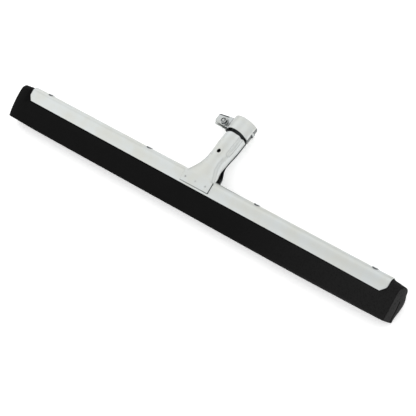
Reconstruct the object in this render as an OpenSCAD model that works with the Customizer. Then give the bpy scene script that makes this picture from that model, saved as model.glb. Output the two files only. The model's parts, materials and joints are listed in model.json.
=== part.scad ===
// Floor squeegee: a folded moss-rubber blade in a plated steel channel, with a clamped handle socket.
// Millimetres. The squeegee lies on its back: +X runs along the blade, +Y from the blade's foot to the
// socket's mouth, +Z up. Modules are drawn in the blade's own frame, where the ridge of the channel is
// at zero, the blade hangs down from it and +Y is the back. lay_down() turns them into the lying pose.

/* [Blade] */
// Length of the rubber blade
blade_len = 550; // [350:10:800]
// Height from the blade's foot to the ridge of the channel
blade_h = 46.4; // [42:0.2:60]
// Thickness of one rubber leaf at its foot
leaf_t = 9.5; // [8:0.5:11]
// Width of the slit between the two leaves
slit_w = 1; // [0.6:0.1:1.5]
// Height of the open slit above the foot
slit_h = 26; // [18:1:28]
// Distance from the blade's plane to its swollen rear face beyond the channel's ends
end_back = 15; // [11:0.5:16]
// Rise of the blade's foot beyond the channel's ends
end_rise = 2.5; // [1:0.5:3]

/* [Channel] */
// Length of the steel channel
channel_len = 520; // [320:10:770]
// Height of the channel from its lower edges to the ridge
channel_h = 17.6; // [16:0.2:20]
// Thickness of the pressed sheet steel
sheet_t = 1.2; // [1:0.1:1.4]
// Outer radius of the ridge
ridge_r = 6; // [6:0.5:8]
// Lean of each flange away from upright, in degrees
flange_lean = 8.6; // [6:0.2:10]
// Length of the cut lower corners along the channel
corner_len = 5; // [3:0.5:7]
// Height of the cut lower corners
corner_h = 6; // [3:0.5:7]

/* [Rivets] */
// Spacing of the four rivets
rivet_pitch = 157.4; // [90:0.2:180]
// Radius of the rivet's domed head
rivet_head_r = 4; // [3.5:0.1:4.5]
// Height of the domed head above the ridge
rivet_head_h = 2.6; // [2:0.1:3]
// Radius of the rivet's shank
rivet_r = 2; // [1.5:0.1:2.2]

/* [Socket] */
// Lean of the socket behind the blade's plane, in degrees
socket_lean = 25; // [18:1:30]
// Radius of the handle bore
bore_r = 12.2; // [11.5:0.1:13]
// Bore radius at the narrow end of the tapered throat
throat_r = 10.8; // [10:0.1:11.2]
// Distance along the socket from its root to the narrow end of the throat
throat_a = 38; // [36:1:40]
// Distance along the socket from its root to where the bore is straight
bore_a = 58; // [54:1:60]
// Distance along the socket from its root to the front shell's edge
front_top_a = 73; // [70:1:76]
// Distance along the socket from its root to its mouth
mouth_a = 96; // [95:1:100]
// Width of the front shell's plate on the channel
base_w = 39.8; // [36:0.2:44]
// Width of the rear shell's plate on the channel
rear_base_w = 50; // [44:0.5:54]
// Radius of the screw hole in the front shell
screw_r = 2.4; // [2:0.1:2.8]
// Distance along the socket from its root to the screw hole
screw_a = 46; // [44:1:48]
// Turn of the seams from the socket's sides towards its back, in degrees
seam_turn = 24; // [18:1:28]
// Gap along the seams between the two shells
seam_gap = 0.8; // [0.6:0.1:1.2]

/* [Clamp] */
// Height of the clamp ring
band_h = 17.5; // [16:0.5:18]
// Thickness of the clamp ring
band_t = 1.5; // [1.4:0.1:1.6]
// Turn of the clamp ring round the socket, in degrees, that brings its ears towards the back
clamp_turn = 7; // [4:1:10]
// Gap between the two ears
ear_gap = 3; // [2.8:0.1:4]
// Distance from the socket's axis to the tip of the front ear
ear_reach = 38; // [35:0.5:40]
// Distance from the socket's axis to the clamp bolt
bolt_x = 25; // [24:0.1:26]
// Distance of the clamp bolt below the middle of the ring's height
bolt_drop = 1.8; // [0:0.1:2]
// Radius of the clamp bolt
bolt_r = 2.5; // [2:0.1:2.8]
// Width across the flats of the nut and the bolt's head
hex_w = 8; // [7.5:0.5:9]
// Thickness of the nut
nut_h = 3.2; // [2.7:0.1:4]

/* [Hidden] */
$fn = 96;
tiny = 0.01;
zinc = [0.80, 0.82, 0.81];
bright_zinc = [0.86, 0.87, 0.86];
rubber = [0.07, 0.07, 0.07];
// Clearances: rubber to the channel, rubber to keeper and rivets, fold, rivet in its hole, strap on the tube,
// bolt in the washer, bolt in an ear, strap to what it passes
press_gap = 0.05;
keeper_fit = 0.1;
fold_gap = 0.3;
rivet_fit = 0.05;
strap_fit = 0.3;
bolt_fit = 0.3;
ear_fit = 0.6;
strap_gap = 0.45;

// Channel and blade
half_t = leaf_t + slit_w / 2;
cavity_r = ridge_r - sheet_t - press_gap;
end_apex = -2;
end_r = 9;
end_front = 10.5;
keeper = [channel_len - 20, 6, 2];
keeper_z = -8;
tail_r = 2.9;
tail_h = 1.4;
rivet_x = [for (place = [-1.5, -0.5, 0.5, 1.5]) place * rivet_pitch];

// Socket: its root lies on the blade's plane, and its axis leans back from there
root_z = -13.4;
base_low = -14.7;
front_base_top = -2.4;
rear_base_top = -9.4;
tube_r = bore_r + sheet_t;
band_r = tube_r + band_t;
strap_in = tube_r + strap_fit;
strap_r = strap_in + band_t;
band_low = mouth_a - band_h;
band_mid = mouth_a - band_h / 2;

// Clamp: the strap hooks over a bar at the right end of the rear band and swings there
ear_low = ear_gap / 2;
ear_root_h = 15;
ear_tip_h = 10.3;
rear_ear_more = 1.5;
strap_end = 87;
hook_bar = [92, 99.5];
hook_slot = [99.5, 112];
hook_tip = [103, 108];
tongue_root = 9;
past_left = 10;
hook_angle = (hook_bar[0] + hook_bar[1]) / 2;
hook_w = 4.5;
hook_slot_w = hook_w + 1.5;
hook_r = band_r + strap_gap;
washer_h = 1;
washer_r = 4.6;
bolt_head_h = 3.5;
bolt_tip = ear_low + band_t + washer_h + nut_h - 0.3;

// Lying pose: a table touches the rear leaf's foot and the rear of the clamp ring's mouth
touch_foot = [half_t, -blade_h];
touch_ring = [mouth_a * sin(socket_lean) + band_r * cos(socket_lean),
              root_z + mouth_a * cos(socket_lean) - band_r * sin(socket_lean)];
lie_angle = atan2(touch_ring[0] - touch_foot[0], touch_ring[1] - touch_foot[1]) - 90;
ring_front = [mouth_a * sin(socket_lean) - strap_r * cos(socket_lean),
              root_z + mouth_a * cos(socket_lean) + strap_r * sin(socket_lean)];
lain_y = function (p) p[0] * cos(lie_angle) - p[1] * sin(lie_angle);
lain_z = function (p) p[0] * sin(lie_angle) + p[1] * cos(lie_angle);
front_foot = [-half_t, -blade_h];
mid_y = (lain_y(front_foot) + lain_y(ring_front)) / 2;

// Frames

module lay_down() {
    translate([0, -mid_y, -lain_z(touch_foot)]) rotate([lie_angle, 0, 0]) children();
}

// Socket frame: local Z runs along the socket, local -Y is its front
module on_socket() {
    lay_down() translate([0, 0, root_z]) rotate([-socket_lean, 0, 0]) children();
}

// Clamp frame: the socket's frame, turned round its axis
module on_clamp() {
    on_socket() rotate([0, 0, -clamp_turn]) children();
}

// Bolt frame: local Z runs along the clamp bolt, towards the front
module on_bolt() {
    on_clamp() translate([-bolt_x, 0, band_mid - bolt_drop]) rotate([90, 0, 0]) children();
}

// Extrudes an end outline, drawn as (back, up), along the blade and centred on it
module along_blade(length) {
    rotate([90, 0, 90]) linear_extrude(height = length, center = true) children();
}

// Outlines

// Half width of the flange's line at a height, for a ridge of radius r
function flank(r, z) = (r + (-z - ridge_r) * sin(flange_lean)) / cos(flange_lean);

// Round ridge with two flanks that lean outward, down to a foot
module ridge_outline(r, foot) {
    top_z = -ridge_r + r * sin(flange_lean);
    top_y = r * cos(flange_lean);
    foot_y = flank(r, -foot);
    translate([0, -ridge_r]) circle(r);
    polygon([[-top_y, top_z], [-foot_y, -foot], [foot_y, -foot], [top_y, top_z]]);
}

// The blade's section inside the channel: pressed fold above, leaves that swell below
module pressed_outline() {
    edge_y = flank(cavity_r, -channel_h);
    swell_z = -channel_h - 9;
    ridge_outline(cavity_r, channel_h);
    polygon([[-edge_y + 1, -channel_h + 1], [-edge_y, -channel_h], [-half_t, swell_z], [-half_t, -blade_h],
             [half_t, -blade_h], [half_t, swell_z], [edge_y, -channel_h], [edge_y - 1, -channel_h + 1]]);
}

// The blade's section beyond the channel, where the fold springs open towards the back
module free_outline() {
    mid_z = end_apex - end_r;
    foot_z = end_rise - blade_h;
    translate([0, mid_z]) circle(end_r);
    polygon([[-end_r, mid_z], [-end_front, mid_z - 11], [-half_t, foot_z],
             [half_t, foot_z], [end_back, mid_z - 11], [end_r, mid_z]]);
}

// Sector of a ring in the clamp's frame, between two angles counted from the front towards +X
module ring_sector(r_in, r_out, from, to, low, high) {
    translate([0, 0, low])
        rotate([0, 0, from - 90])
            rotate_extrude(angle = to - from)
                translate([r_in, 0]) square([r_out - r_in, high - low]);
}

module hexagon(w, h) {
    cylinder(d = w / cos(30), h = h, $fn = 6);
}

// Sub-parts: blade unit

module channel() {
    color(zinc) lay_down() difference() {
        along_blade(channel_len) difference() {
            ridge_outline(ridge_r, channel_h);
            ridge_outline(ridge_r - sheet_t, channel_h + 1);
        }
        for (side = [-1, 1])
            translate([side * channel_len / 2, 0, -channel_h])
                rotate([90, 0, 0])
                    linear_extrude(height = 40, center = true)
                        polygon([[-side * corner_len, -tiny], [side, -tiny], [side, corner_h + 1.2],
                                 [0, corner_h]]);
        for (x = rivet_x)
            translate([x, 0, -ridge_r]) cylinder(r = rivet_r + rivet_fit, h = ridge_r + 1);
    }
}

module blade() {
    end_len = (blade_len - channel_len) / 2;
    color(rubber) lay_down() difference() {
        union() {
            along_blade(channel_len) pressed_outline();
            for (side = [-1, 1])
                translate([side * (blade_len - end_len) / 2, 0, 0]) along_blade(end_len) free_outline();
        }
        translate([-blade_len, -slit_w / 2, -blade_h - 1]) cube([2 * blade_len, slit_w, slit_h + 1]);
        translate([-blade_len, -fold_gap / 2, -blade_h])
            cube([2 * blade_len, fold_gap, blade_h + keeper_z - keeper[2] / 2]);
        keeper_room = keeper + [10, 2, 2] * keeper_fit;
        keeper_low = keeper_z - keeper[2];
        translate([-keeper_room[0] / 2, -keeper_room[1] / 2, keeper_low - keeper_fit]) cube(keeper_room);
        for (x = rivet_x)
            translate([x, 0, keeper_low]) {
                cylinder(r = rivet_r + keeper_fit, h = -keeper_low);
                translate([0, 0, -tail_h - 2 * keeper_fit])
                    cylinder(r = tail_r + 2 * keeper_fit, h = tail_h + 4 * keeper_fit);
            }
    }
}

module keeper_strip() {
    color(zinc) lay_down() difference() {
        translate([-keeper[0] / 2, -keeper[1] / 2, keeper_z - keeper[2]]) cube(keeper);
        for (x = rivet_x)
            translate([x, 0, keeper_z - keeper[2] - 1]) cylinder(r = rivet_r + rivet_fit, h = keeper[2] + 2);
    }
}

// A rivet with its domed head seated on the ridge and its tail closed under the keeper strip
module ridge_rivet(i) {
    dome_r = (rivet_head_r * rivet_head_r + rivet_head_h * rivet_head_h) / (2 * rivet_head_h);
    skirt = 1.2;
    tail_z = keeper_z - keeper[2];
    color(bright_zinc) lay_down() translate([rivet_x[i], 0, 0]) {
        difference() {
            union() {
                intersection() {
                    translate([0, 0, rivet_head_h - dome_r]) sphere(r = dome_r);
                    cylinder(r = rivet_head_r, h = rivet_head_h + 1);
                }
                translate([0, 0, -skirt]) cylinder(r = rivet_head_r, h = skirt + tiny);
            }
            along_blade(4 * rivet_head_r) translate([0, -ridge_r]) circle(ridge_r);
        }
        translate([0, 0, tail_z - tail_h / 2]) cylinder(r = rivet_r, h = -tail_z + tail_h / 2 + 1);
        translate([0, 0, tail_z - tail_h]) cylinder(r = tail_r, h = tail_h);
    }
}

// Sub-parts: socket

function mix(a, b, t) = a + (b - a) * t;
function smooth(t) = t * t * (3 - 2 * t);
function bezier(p, t) = pow(1 - t, 3) * p[0] + 3 * pow(1 - t, 2) * t * p[1]
                      + 3 * (1 - t) * t * t * p[2] + pow(t, 3) * p[3];
// A point of the blade's (back, up) plane from the socket's: a along the axis, n to the front
function socket_point(a, n) = [a * sin(socket_lean) - n * cos(socket_lean),
                               root_z + a * cos(socket_lean) + n * sin(socket_lean)];
function unit(v) = v / norm(v);

// One pressed shell below its throat. side is 1 at the front and -1 at the rear. Each section is part of an
// ellipse from one seam over the middle line to the other seam: flat on the flange, round at the throat.
foot_sections = 3;
flare_sections = 14;
half_steps = 16;
sunk = 0.15;
short = 2;
lap = 1.2;
axis_dir = [sin(socket_lean), cos(socket_lean)];
seam_half = asin(seam_gap / 2 / tube_r);
function shell_top(side) = side > 0 ? front_base_top : rear_base_top;
function shell_base(side) = (side > 0 ? base_w : rear_base_w) / 2;
function shell_span(side) = 90 + side * seam_turn - seam_half;
function flange_point(side, z) = [-side * flank(ridge_r, z), z];
function flange_dir(side) = [side * sin(flange_lean), cos(flange_lean)];
function middle_line(side) =
    let (start = flange_point(side, shell_top(side)),
         end = socket_point(throat_a, side * throat_r))
    side > 0 ? [start, start + 6 * flange_dir(side), end - 12 * axis_dir, end]
             : [start, start + 6 * axis_dir, end - 16 * axis_dir, end];
function centre_line(side) =
    let (start = flange_point(side, shell_top(side)),
         end = socket_point(throat_a, 0))
    side > 0 ? [start, start + [4.3, 2], end - 11 * axis_dir, end]
             : [start, start + 8 * axis_dir, end - 9 * axis_dir, end];
function half_width(side, t) = mix(throat_r, shell_base(side), pow(1 - t, side > 0 ? 1.5 : 1.2));
function outward(side, t) = unit(mix([-side * cos(flange_lean), sin(flange_lean)],
                                     [-side * cos(socket_lean), side * sin(socket_lean)], smooth(t)));

// A section's ring of points, outer face first and then the inner face back again. At the throat it is a
// little thinner and shorter than the tube it runs into.
function flare_ring(side, t) =
    let (mid = bezier(middle_line(side), t),
         centre = bezier(centre_line(side), t),
         out = outward(side, t),
         round_part = smooth(t),
         span = mix(90, shell_span(side) - short, round_part),
         skin = [sheet_t - sunk * round_part, sunk * round_part])
    [for (face = [0, 1], k = [-half_steps : half_steps])
        let (angle = (face == 0 ? k : -k) * span / half_steps,
             lift = skin[face],
             c = centre + lift * (1 - round_part) * out,
             m = mid + lift * out,
             p = c + (m - c) * cos(angle))
        [(half_width(side, t) + lift * round_part) * sin(angle), p[0], p[1]]];
function foot_ring(side, t) =
    let (z = mix(base_low, shell_top(side), t),
         p = flange_point(side, z),
         out = outward(side, 0))
    [for (face = [0, 1], k = [-half_steps : half_steps])
        let (q = p + (face == 0 ? sheet_t : 0) * out)
        [(face == 0 ? 1 : -1) * shell_base(side) * sin(k * 90 / half_steps), q[0], q[1]]];

module loft(rings) {
    n = len(rings[0]);
    last = len(rings) - 1;
    points = [for (r = rings) each r];
    walls = [for (i = [0 : last - 1], k = [0 : n - 1])
                let (a = i * n + k, b = i * n + (k + 1) % n)
                each [[a, b + n, b], [a, a + n, b + n]]];
    half = n / 2;
    caps = [for (k = [0 : half - 2])
                each [[k, k + 1, n - 1 - k], [k + 1, n - 2 - k, n - 1 - k]]];
    top = [for (f = caps) [for (v = [f[0], f[2], f[1]]) v + last * n]];
    polyhedron(points = points, faces = concat(walls, caps, top), convexity = 6);
}

module flared_foot(side) {
    rings = concat([for (i = [0 : foot_sections - 1]) foot_ring(side, i / foot_sections)],
                   [for (i = [0 : flare_sections]) flare_ring(side, i / flare_sections)]);
    lay_down() loft(side > 0 ? rings : [for (i = [len(rings) - 1 : -1 : 0]) rings[i]]);
}

// Round part of a shell, from its throat to its edge, between its seams. It starts as a wedge inside the
// flared part's wall.
module shell_tube(side, top) {
    span = shell_span(side);
    edge_r = throat_r + sheet_t / 2;
    on_socket() rotate([0, 0, -side * 90 - span])
        rotate_extrude(angle = 2 * span)
            polygon([[edge_r, throat_a - lap], [throat_r, throat_a], [bore_r, bore_a], [bore_r, top],
                     [tube_r, top], [tube_r, bore_a], [throat_r + sheet_t, throat_a]]);
}

module front_shell() {
    color(zinc) difference() {
        union() {
            flared_foot(1);
            shell_tube(1, front_top_a);
        }
        on_socket() translate([0, 0, screw_a]) rotate([90, 0, 0]) cylinder(r = screw_r, h = 30);
    }
}

module rear_shell() {
    color(zinc) {
        flared_foot(-1);
        shell_tube(-1, mouth_a);
    }
}

// Sub-parts: clamp

// An ear: a tapered plate with a bolt hole, standing off the ring on its left side
module ear(low, reach) {
    root_x = bolt_x - tube_r - band_t / 2;
    tip_x = bolt_x - reach;
    on_bolt() translate([0, 0, low]) difference() {
        linear_extrude(height = band_t) translate([0, bolt_drop])
            polygon([[root_x, -ear_root_h / 2], [root_x, ear_root_h / 2],
                     [tip_x, ear_tip_h / 2], [tip_x, -ear_tip_h / 2]]);
        translate([0, 0, -1]) cylinder(r = bolt_r + ear_fit, h = band_t + 2);
    }
}

// Room to the left of the socket's axis from the plane y = low towards +Y, to cut a ring's end flat
module left_room(low) {
    translate([-ear_reach, low, band_low - 1]) cube([ear_reach, ear_reach, band_h + 2]);
}

module rear_band() {
    color(zinc) {
        on_clamp() difference() {
            ring_sector(tube_r, band_r, hook_bar[0], 270 + past_left, band_low, mouth_a);
            ring_sector(tube_r - 1, band_r + 1, hook_slot[0], hook_slot[1],
                        band_mid - hook_slot_w / 2, band_mid + hook_slot_w / 2);
            left_room(ear_low - ear_reach);
        }
        ear(-ear_low - band_t, ear_reach + rear_ear_more);
    }
}

// The strap's tongue steps outward past the end of the rear band and turns in through its slot
module clamp_strap() {
    low = band_mid - hook_w / 2;
    high = band_mid + hook_w / 2;
    color(zinc) {
        on_clamp() {
            difference() {
                ring_sector(strap_in, strap_r, -90 - past_left, strap_end, band_low, mouth_a);
                left_room(-ear_low);
            }
            ring_sector(strap_in, hook_r + band_t, strap_end - tongue_root, strap_end + 1, low, high);
            ring_sector(hook_r, hook_r + band_t, strap_end - 4, (hook_tip[0] + hook_tip[1]) / 2, low, high);
            ring_sector(tube_r + strap_gap, hook_r + band_t, hook_tip[0], hook_tip[1], low, high);
        }
        ear(ear_low, ear_reach);
    }
}

module clamp_bolt() {
    head_top = -ear_low - band_t;
    color(bright_zinc) on_bolt() {
        translate([0, 0, head_top - bolt_head_h]) hexagon(hex_w, bolt_head_h);
        translate([0, 0, head_top - 1]) cylinder(r = bolt_r, h = bolt_tip - head_top + 1 - 0.6);
        translate([0, 0, bolt_tip - 0.6 - tiny]) cylinder(r1 = bolt_r, r2 = bolt_r - 0.6, h = 0.6 + tiny);
    }
}

module clamp_washer() {
    color(bright_zinc) on_bolt() translate([0, 0, ear_low + band_t]) difference() {
        cylinder(r = washer_r, h = washer_h);
        translate([0, 0, -1]) cylinder(r = bolt_r + bolt_fit, h = washer_h + 2);
    }
}

module clamp_nut() {
    color(bright_zinc) on_bolt() translate([0, 0, ear_low + band_t + washer_h]) difference() {
        intersection() {
            hexagon(hex_w, nut_h);
            cylinder(r1 = hex_w / 2 + 0.6 + nut_h, r2 = hex_w / 2 - 0.1, h = nut_h);
        }
        translate([0, 0, -1]) cylinder(r = bolt_r + 0.05, h = nut_h + 2);
    }
}

channel();
blade();
keeper_strip();
ridge_rivet(0);  // ridge_rivet_1
ridge_rivet(1);  // ridge_rivet_2
ridge_rivet(2);  // ridge_rivet_3
ridge_rivet(3);  // ridge_rivet_4
front_shell();
rear_shell();
rear_band();
clamp_strap();
clamp_bolt();
clamp_washer();
clamp_nut();
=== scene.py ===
# %% [markdown]
# # Dressing a floor squeegee
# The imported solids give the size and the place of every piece. This lesson puts pressed sheet, folded rubber
# and turned fasteners over them. Each piece is made where it sits, so its object stays at the origin and
# nothing has to be fitted afterwards. Sizes are typed in millimetres and become metres on the way out.

# %% Load the frame
import json
import math
import bmesh
import bpy
import numpy as np
from mathutils import Matrix

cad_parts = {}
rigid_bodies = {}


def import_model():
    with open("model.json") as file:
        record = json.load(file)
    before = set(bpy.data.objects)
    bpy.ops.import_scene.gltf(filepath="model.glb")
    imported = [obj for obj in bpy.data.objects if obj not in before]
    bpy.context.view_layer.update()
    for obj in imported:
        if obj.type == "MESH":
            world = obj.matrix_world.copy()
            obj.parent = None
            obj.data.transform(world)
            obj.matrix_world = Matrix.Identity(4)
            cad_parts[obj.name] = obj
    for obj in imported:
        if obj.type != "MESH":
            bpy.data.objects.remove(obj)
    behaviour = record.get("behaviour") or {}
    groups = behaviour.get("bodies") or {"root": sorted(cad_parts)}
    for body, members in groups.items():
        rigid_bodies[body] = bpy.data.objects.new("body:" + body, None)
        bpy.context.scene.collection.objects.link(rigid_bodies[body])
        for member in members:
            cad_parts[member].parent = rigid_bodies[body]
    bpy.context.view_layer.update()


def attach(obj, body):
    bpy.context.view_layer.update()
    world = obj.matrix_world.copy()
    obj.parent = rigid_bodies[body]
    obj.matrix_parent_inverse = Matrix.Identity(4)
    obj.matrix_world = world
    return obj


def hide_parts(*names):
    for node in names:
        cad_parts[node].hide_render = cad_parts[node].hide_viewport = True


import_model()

# %% [markdown]
# ## The lying pose
# The squeegee is easiest to draw as it works: ridge at zero, rubber hanging down, socket leaning back. It is
# then laid on its back, until the rear leaf's foot and the clamp's rear rest on the table. The same few sizes
# give the same turn here as in the part's source.

# %% Blade frame to world
MM = 0.001
LEAN = math.radians(25)
ROOT_Z = -13.4
MOUTH_A, RING_DROP = 96.0, 1.1
BAND_R, STRAP_R = 14.9, 15.2
FOOT_BACK, FOOT_UP = 10.0, -46.4
CLAMP_TURN = math.radians(7)


def socket_back_up(a, n):
    """Back and up of a point a along the socket and n to its front."""
    c, s = math.cos(LEAN), math.sin(LEAN)
    return np.array([a * s - n * c, ROOT_Z + a * c + n * s])


ring_rest = socket_back_up(MOUTH_A, -BAND_R)
ring_front = socket_back_up(MOUTH_A, STRAP_R)
LIE = math.atan2(ring_rest[0] - FOOT_BACK, ring_rest[1] - FOOT_UP) - math.pi / 2
MID_Y = 0.5 * (-FOOT_BACK * math.cos(LIE) - FOOT_UP * math.sin(LIE)
               + ring_front[0] * math.cos(LIE) - ring_front[1] * math.sin(LIE))
LOW_Z = FOOT_BACK * math.sin(LIE) + FOOT_UP * math.cos(LIE)


def lay(points):
    """Millimetres along, back and up in the blade's frame, to metres in the world."""
    p = np.asarray(points, float)
    y = p[..., 1] * math.cos(LIE) - p[..., 2] * math.sin(LIE) - MID_Y
    z = p[..., 1] * math.sin(LIE) + p[..., 2] * math.cos(LIE) - LOW_Z
    return np.stack([p[..., 0], y, z], -1) * MM


def from_socket(x, front, a):
    """Blade frame from the socket's: x to the right, front off the axis, a along it."""
    back, up = socket_back_up(a, front)
    return np.stack([x, back, up], -1)


def from_clamp(x, front, a):
    """Blade frame from the clamp's, which is the socket's turned round its axis."""
    c, s = math.cos(CLAMP_TURN), math.sin(CLAMP_TURN)
    return from_socket(x * c - front * s, x * s + front * c, a)


print("lying turn", round(math.degrees(LIE), 3))

# %% [markdown]
# ## The camera
# The photograph's lens and stand were found by matching the ridge's ends, the rivets, the socket's axis and
# the ring in one perspective. The camera is long-lensed, above the front of the blade, and rolled so that the
# blade runs down to the right.

# %% Camera
LENS, SENSOR, FAR_END = 122.71, 36, 20
view_right = np.array([0.77137301, 0.57518824, -0.27229058])
view_up = np.array([-0.42148292, 0.78233518, 0.45858893])
stand = (0.7825, -0.4258558, 1.35979802)


def stand_at(place, right, up, back):
    """A matrix at a place, from the three directions of its axes."""
    return Matrix.Translation(place) @ Matrix(np.stack([right, up, back], 1).tolist()).to_4x4()


camera = bpy.data.objects.new("photo_camera", bpy.data.cameras.new("photo_camera"))
camera.data.lens = LENS
camera.data.sensor_width = SENSOR
camera.data.clip_end = FAR_END
camera.matrix_world = stand_at(stand, view_right, view_up, np.cross(view_right, view_up))
bpy.context.scene.collection.objects.link(camera)
bpy.context.scene.camera = camera
print("camera", [round(v, 3) for v in camera.location])

# %% [markdown]
# ## Finishes: effects that more than one material shares
# Plated steel is never one even grey. Zinc dries in soft clouds, rolling leaves faint lines, and handling
# leaves hair scratches. Rubber has dust and a fine skin. Each effect is a node group built once, with named
# values, and every material sets its own.

# %% Node helpers


def wire(tree, socket, value):
    """Links another socket to this one, or types a value on it."""
    if isinstance(value, bpy.types.NodeSocket):
        tree.links.new(value, socket)
    else:
        socket.default_value = value


def add_node(tree, kind, values=(), **settings):
    """A new node: its settings first, then its inputs by name or number."""
    node = tree.nodes.new(kind)
    for label, value in settings.items():
        setattr(node, label, value)
    for label, value in dict(values).items():
        wire(tree, node.inputs[label], value)
    return node


def math_node(tree, kind, *values):
    return add_node(tree, "ShaderNodeMath", enumerate(values), operation=kind).outputs[0]


def ramp_node(tree, value, low, high, to_low=0.0, to_high=1.0):
    """A soft step between two results, as the value goes from low to high."""
    ends = {"Value": value, "From Min": low, "From Max": high, "To Min": to_low, "To Max": to_high}
    return add_node(tree, "ShaderNodeMapRange", ends, interpolation_type="SMOOTHSTEP").outputs[0]


def noise_node(tree, vector, scale, detail, rough):
    values = {"Vector": vector, "Scale": scale, "Detail": detail, "Roughness": rough}
    return add_node(tree, "ShaderNodeTexNoise", values).outputs["Fac"]


def streak_node(tree, vector, stretch):
    """Noise drawn out into lines."""
    drawn = add_node(tree, "ShaderNodeMapping", {"Vector": vector, "Scale": stretch})
    return noise_node(tree, drawn.outputs["Vector"], 1.0, 2.0, 0.5)


def object_place(tree):
    return add_node(tree, "ShaderNodeTexCoord").outputs["Object"]


def new_group(name, inputs, outputs):
    """A shader group with number sockets, and the sockets that its inside reads and fills."""
    tree = bpy.data.node_groups.new(name, "ShaderNodeTree")
    for label, value in inputs.items():
        socket = tree.interface.new_socket(name=label, in_out="INPUT", socket_type="NodeSocketFloat")
        socket.default_value = value
    for label in outputs:
        tree.interface.new_socket(name=label, in_out="OUTPUT", socket_type="NodeSocketFloat")
    return tree, tree.nodes.new("NodeGroupInput").outputs, tree.nodes.new("NodeGroupOutput").inputs


print("node helpers ready")

# %% Plating clouds and hair scratches
ROLLED, HANDLED = (60, 2600, 2600), (2300, 90, 1900)
plating, plate_in, plate_out = new_group(
    "plating_wear", {"Cloud Scale": 55.0, "Grain Scale": 3200.0}, ["Cloud", "Grain", "Scratch"])
place = object_place(plating)
cloud = noise_node(plating, place, plate_in["Cloud Scale"], 4.0, 0.6)
rolled = ramp_node(plating, streak_node(plating, place, ROLLED), 0.66, 0.72)
handled = ramp_node(plating, streak_node(plating, place, HANDLED), 0.67, 0.73)
rubbed = ramp_node(plating, noise_node(plating, place, 38.0, 2.0, 0.55), 0.5, 0.66)
hair = math_node(plating, "MAXIMUM", rolled, handled)
wire(plating, plate_out["Cloud"], ramp_node(plating, cloud, 0.3, 0.7))
wire(plating, plate_out["Grain"], noise_node(plating, place, plate_in["Grain Scale"], 2.0, 0.5))
wire(plating, plate_out["Scratch"], math_node(plating, "MULTIPLY", hair, rubbed))
print("group", plating.name)

# %% Cells and dust of moss rubber
cells, cell_in, cell_out = new_group("rubber_cells", {"Cell Scale": 900.0}, ["Pores", "Dust", "Skin"])
place = object_place(cells)
pore = add_node(cells, "ShaderNodeTexVoronoi", {"Vector": place, "Scale": cell_in["Cell Scale"]})
dust = noise_node(cells, place, 45.0, 5.0, 0.65)
wire(cells, cell_out["Pores"], ramp_node(cells, pore.outputs["Distance"], 0.12, 0.42))
wire(cells, cell_out["Dust"], ramp_node(cells, dust, 0.42, 0.78))
wire(cells, cell_out["Skin"], noise_node(cells, place, 1400.0, 3.0, 0.6))
print("group", cells.name)

# %% [markdown]
# ## The materials
# The real thing has satin zinc on the pressed sheet, brighter zinc on nut, washer and bolt, polished zinc on
# the rivets' domes, and black moss rubber, whose cut ends are lighter and more open than its skin. Two
# numbers that the meshes carry at their points change the colour from place to place: one darkens zinc with
# a thin film and with painted shade inside the sheet, in seams, bends and creases and round the nut, and the
# other lightens the rubber, as painted light towards its right end, a little at its left end, and as wear at
# the toe. Constant values are typed on the shader itself; only what varies over the surface is linked.

# %% Zinc finishes
# Colour of the painted shade on zinc.
SHADED_ZINC = (0.022, 0.027, 0.030)
FRESH = 1.12
DULL_ROUGHER, LIGHT_SMOOTHER = 0.07, 0.05
GRAIN_SHARE, GRAIN_BUMP, GRAIN_DEPTH = 0.12, 0.12, 0.00004


def color_mix(tree, factor, a, b):
    """From one colour to another, each typed or linked."""
    a, b = ((*c, 1) if isinstance(c, tuple) else c for c in (a, b))
    return add_node(tree, "ShaderNodeMix", {0: factor, 6: a, 7: b}, data_type="RGBA").outputs[2]


def bump_node(tree, height, strength, distance):
    values = {"Strength": strength, "Distance": distance, "Height": height}
    return add_node(tree, "ShaderNodeBump", values).outputs["Normal"]


def mesh_tone(tree, name):
    """The number that a mesh carries at its points under this name."""
    return add_node(tree, "ShaderNodeAttribute", attribute_name=name).outputs["Fac"]


def start_material(name):
    """A new material, its tree, and its shader's sockets."""
    material = bpy.data.materials.new(name)
    material.use_nodes = True
    return material, material.node_tree, material.node_tree.nodes["Principled BSDF"].inputs


def zinc_material(name, light, dull, rough, cloud_scale):
    material, tree, shader = start_material(name)
    wear = add_node(tree, "ShaderNodeGroup", {"Cloud Scale": cloud_scale}, node_tree=plating).outputs
    tone = color_mix(tree, wear["Cloud"], dull, light)
    tone = color_mix(tree, wear["Scratch"], tone, tuple(min(1.0, v * FRESH) for v in light))
    # Painted shade and a thin film, carried by the mesh's points, darken the zinc.
    wire(tree, shader["Base Color"], color_mix(tree, mesh_tone(tree, "recess"), tone, SHADED_ZINC))
    soft = ramp_node(tree, wear["Cloud"], 0.0, 1.0, rough + DULL_ROUGHER, rough - LIGHT_SMOOTHER)
    wire(tree, shader["Roughness"], math_node(tree, "MULTIPLY_ADD", wear["Grain"], GRAIN_SHARE, soft))
    height = math_node(tree, "SUBTRACT", wear["Grain"], wear["Scratch"])
    wire(tree, shader["Normal"], bump_node(tree, height, GRAIN_BUMP, GRAIN_DEPTH))
    shader["Metallic"].default_value = 1.0
    return material


zinc_sheet = zinc_material("zinc_sheet", (0.636, 0.666, 0.664), (0.634, 0.644, 0.606), 0.31, 40.0)
zinc_bright = zinc_material("zinc_bright", (0.66, 0.68, 0.67), (0.56, 0.58, 0.57), 0.24, 160.0)
zinc_dome = zinc_material("zinc_dome", (0.94, 0.95, 0.96), (0.86, 0.87, 0.88), 0.2, 160.0)
print("zinc finishes", zinc_sheet.name, zinc_bright.name, zinc_dome.name)

# %% Rubber skin and cut rubber
# The lighter colour stands for painted light on the rubber and for wear at the toe.
LIT_AND_WORN_RUBBER, PORE_SHADE, PORE_BUMP = 0.022, 0.35, 0.5
DUST_ROUGHER, SHEEN = 0.12, 0.08


def grey(value):
    return (value, value, value)


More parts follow.
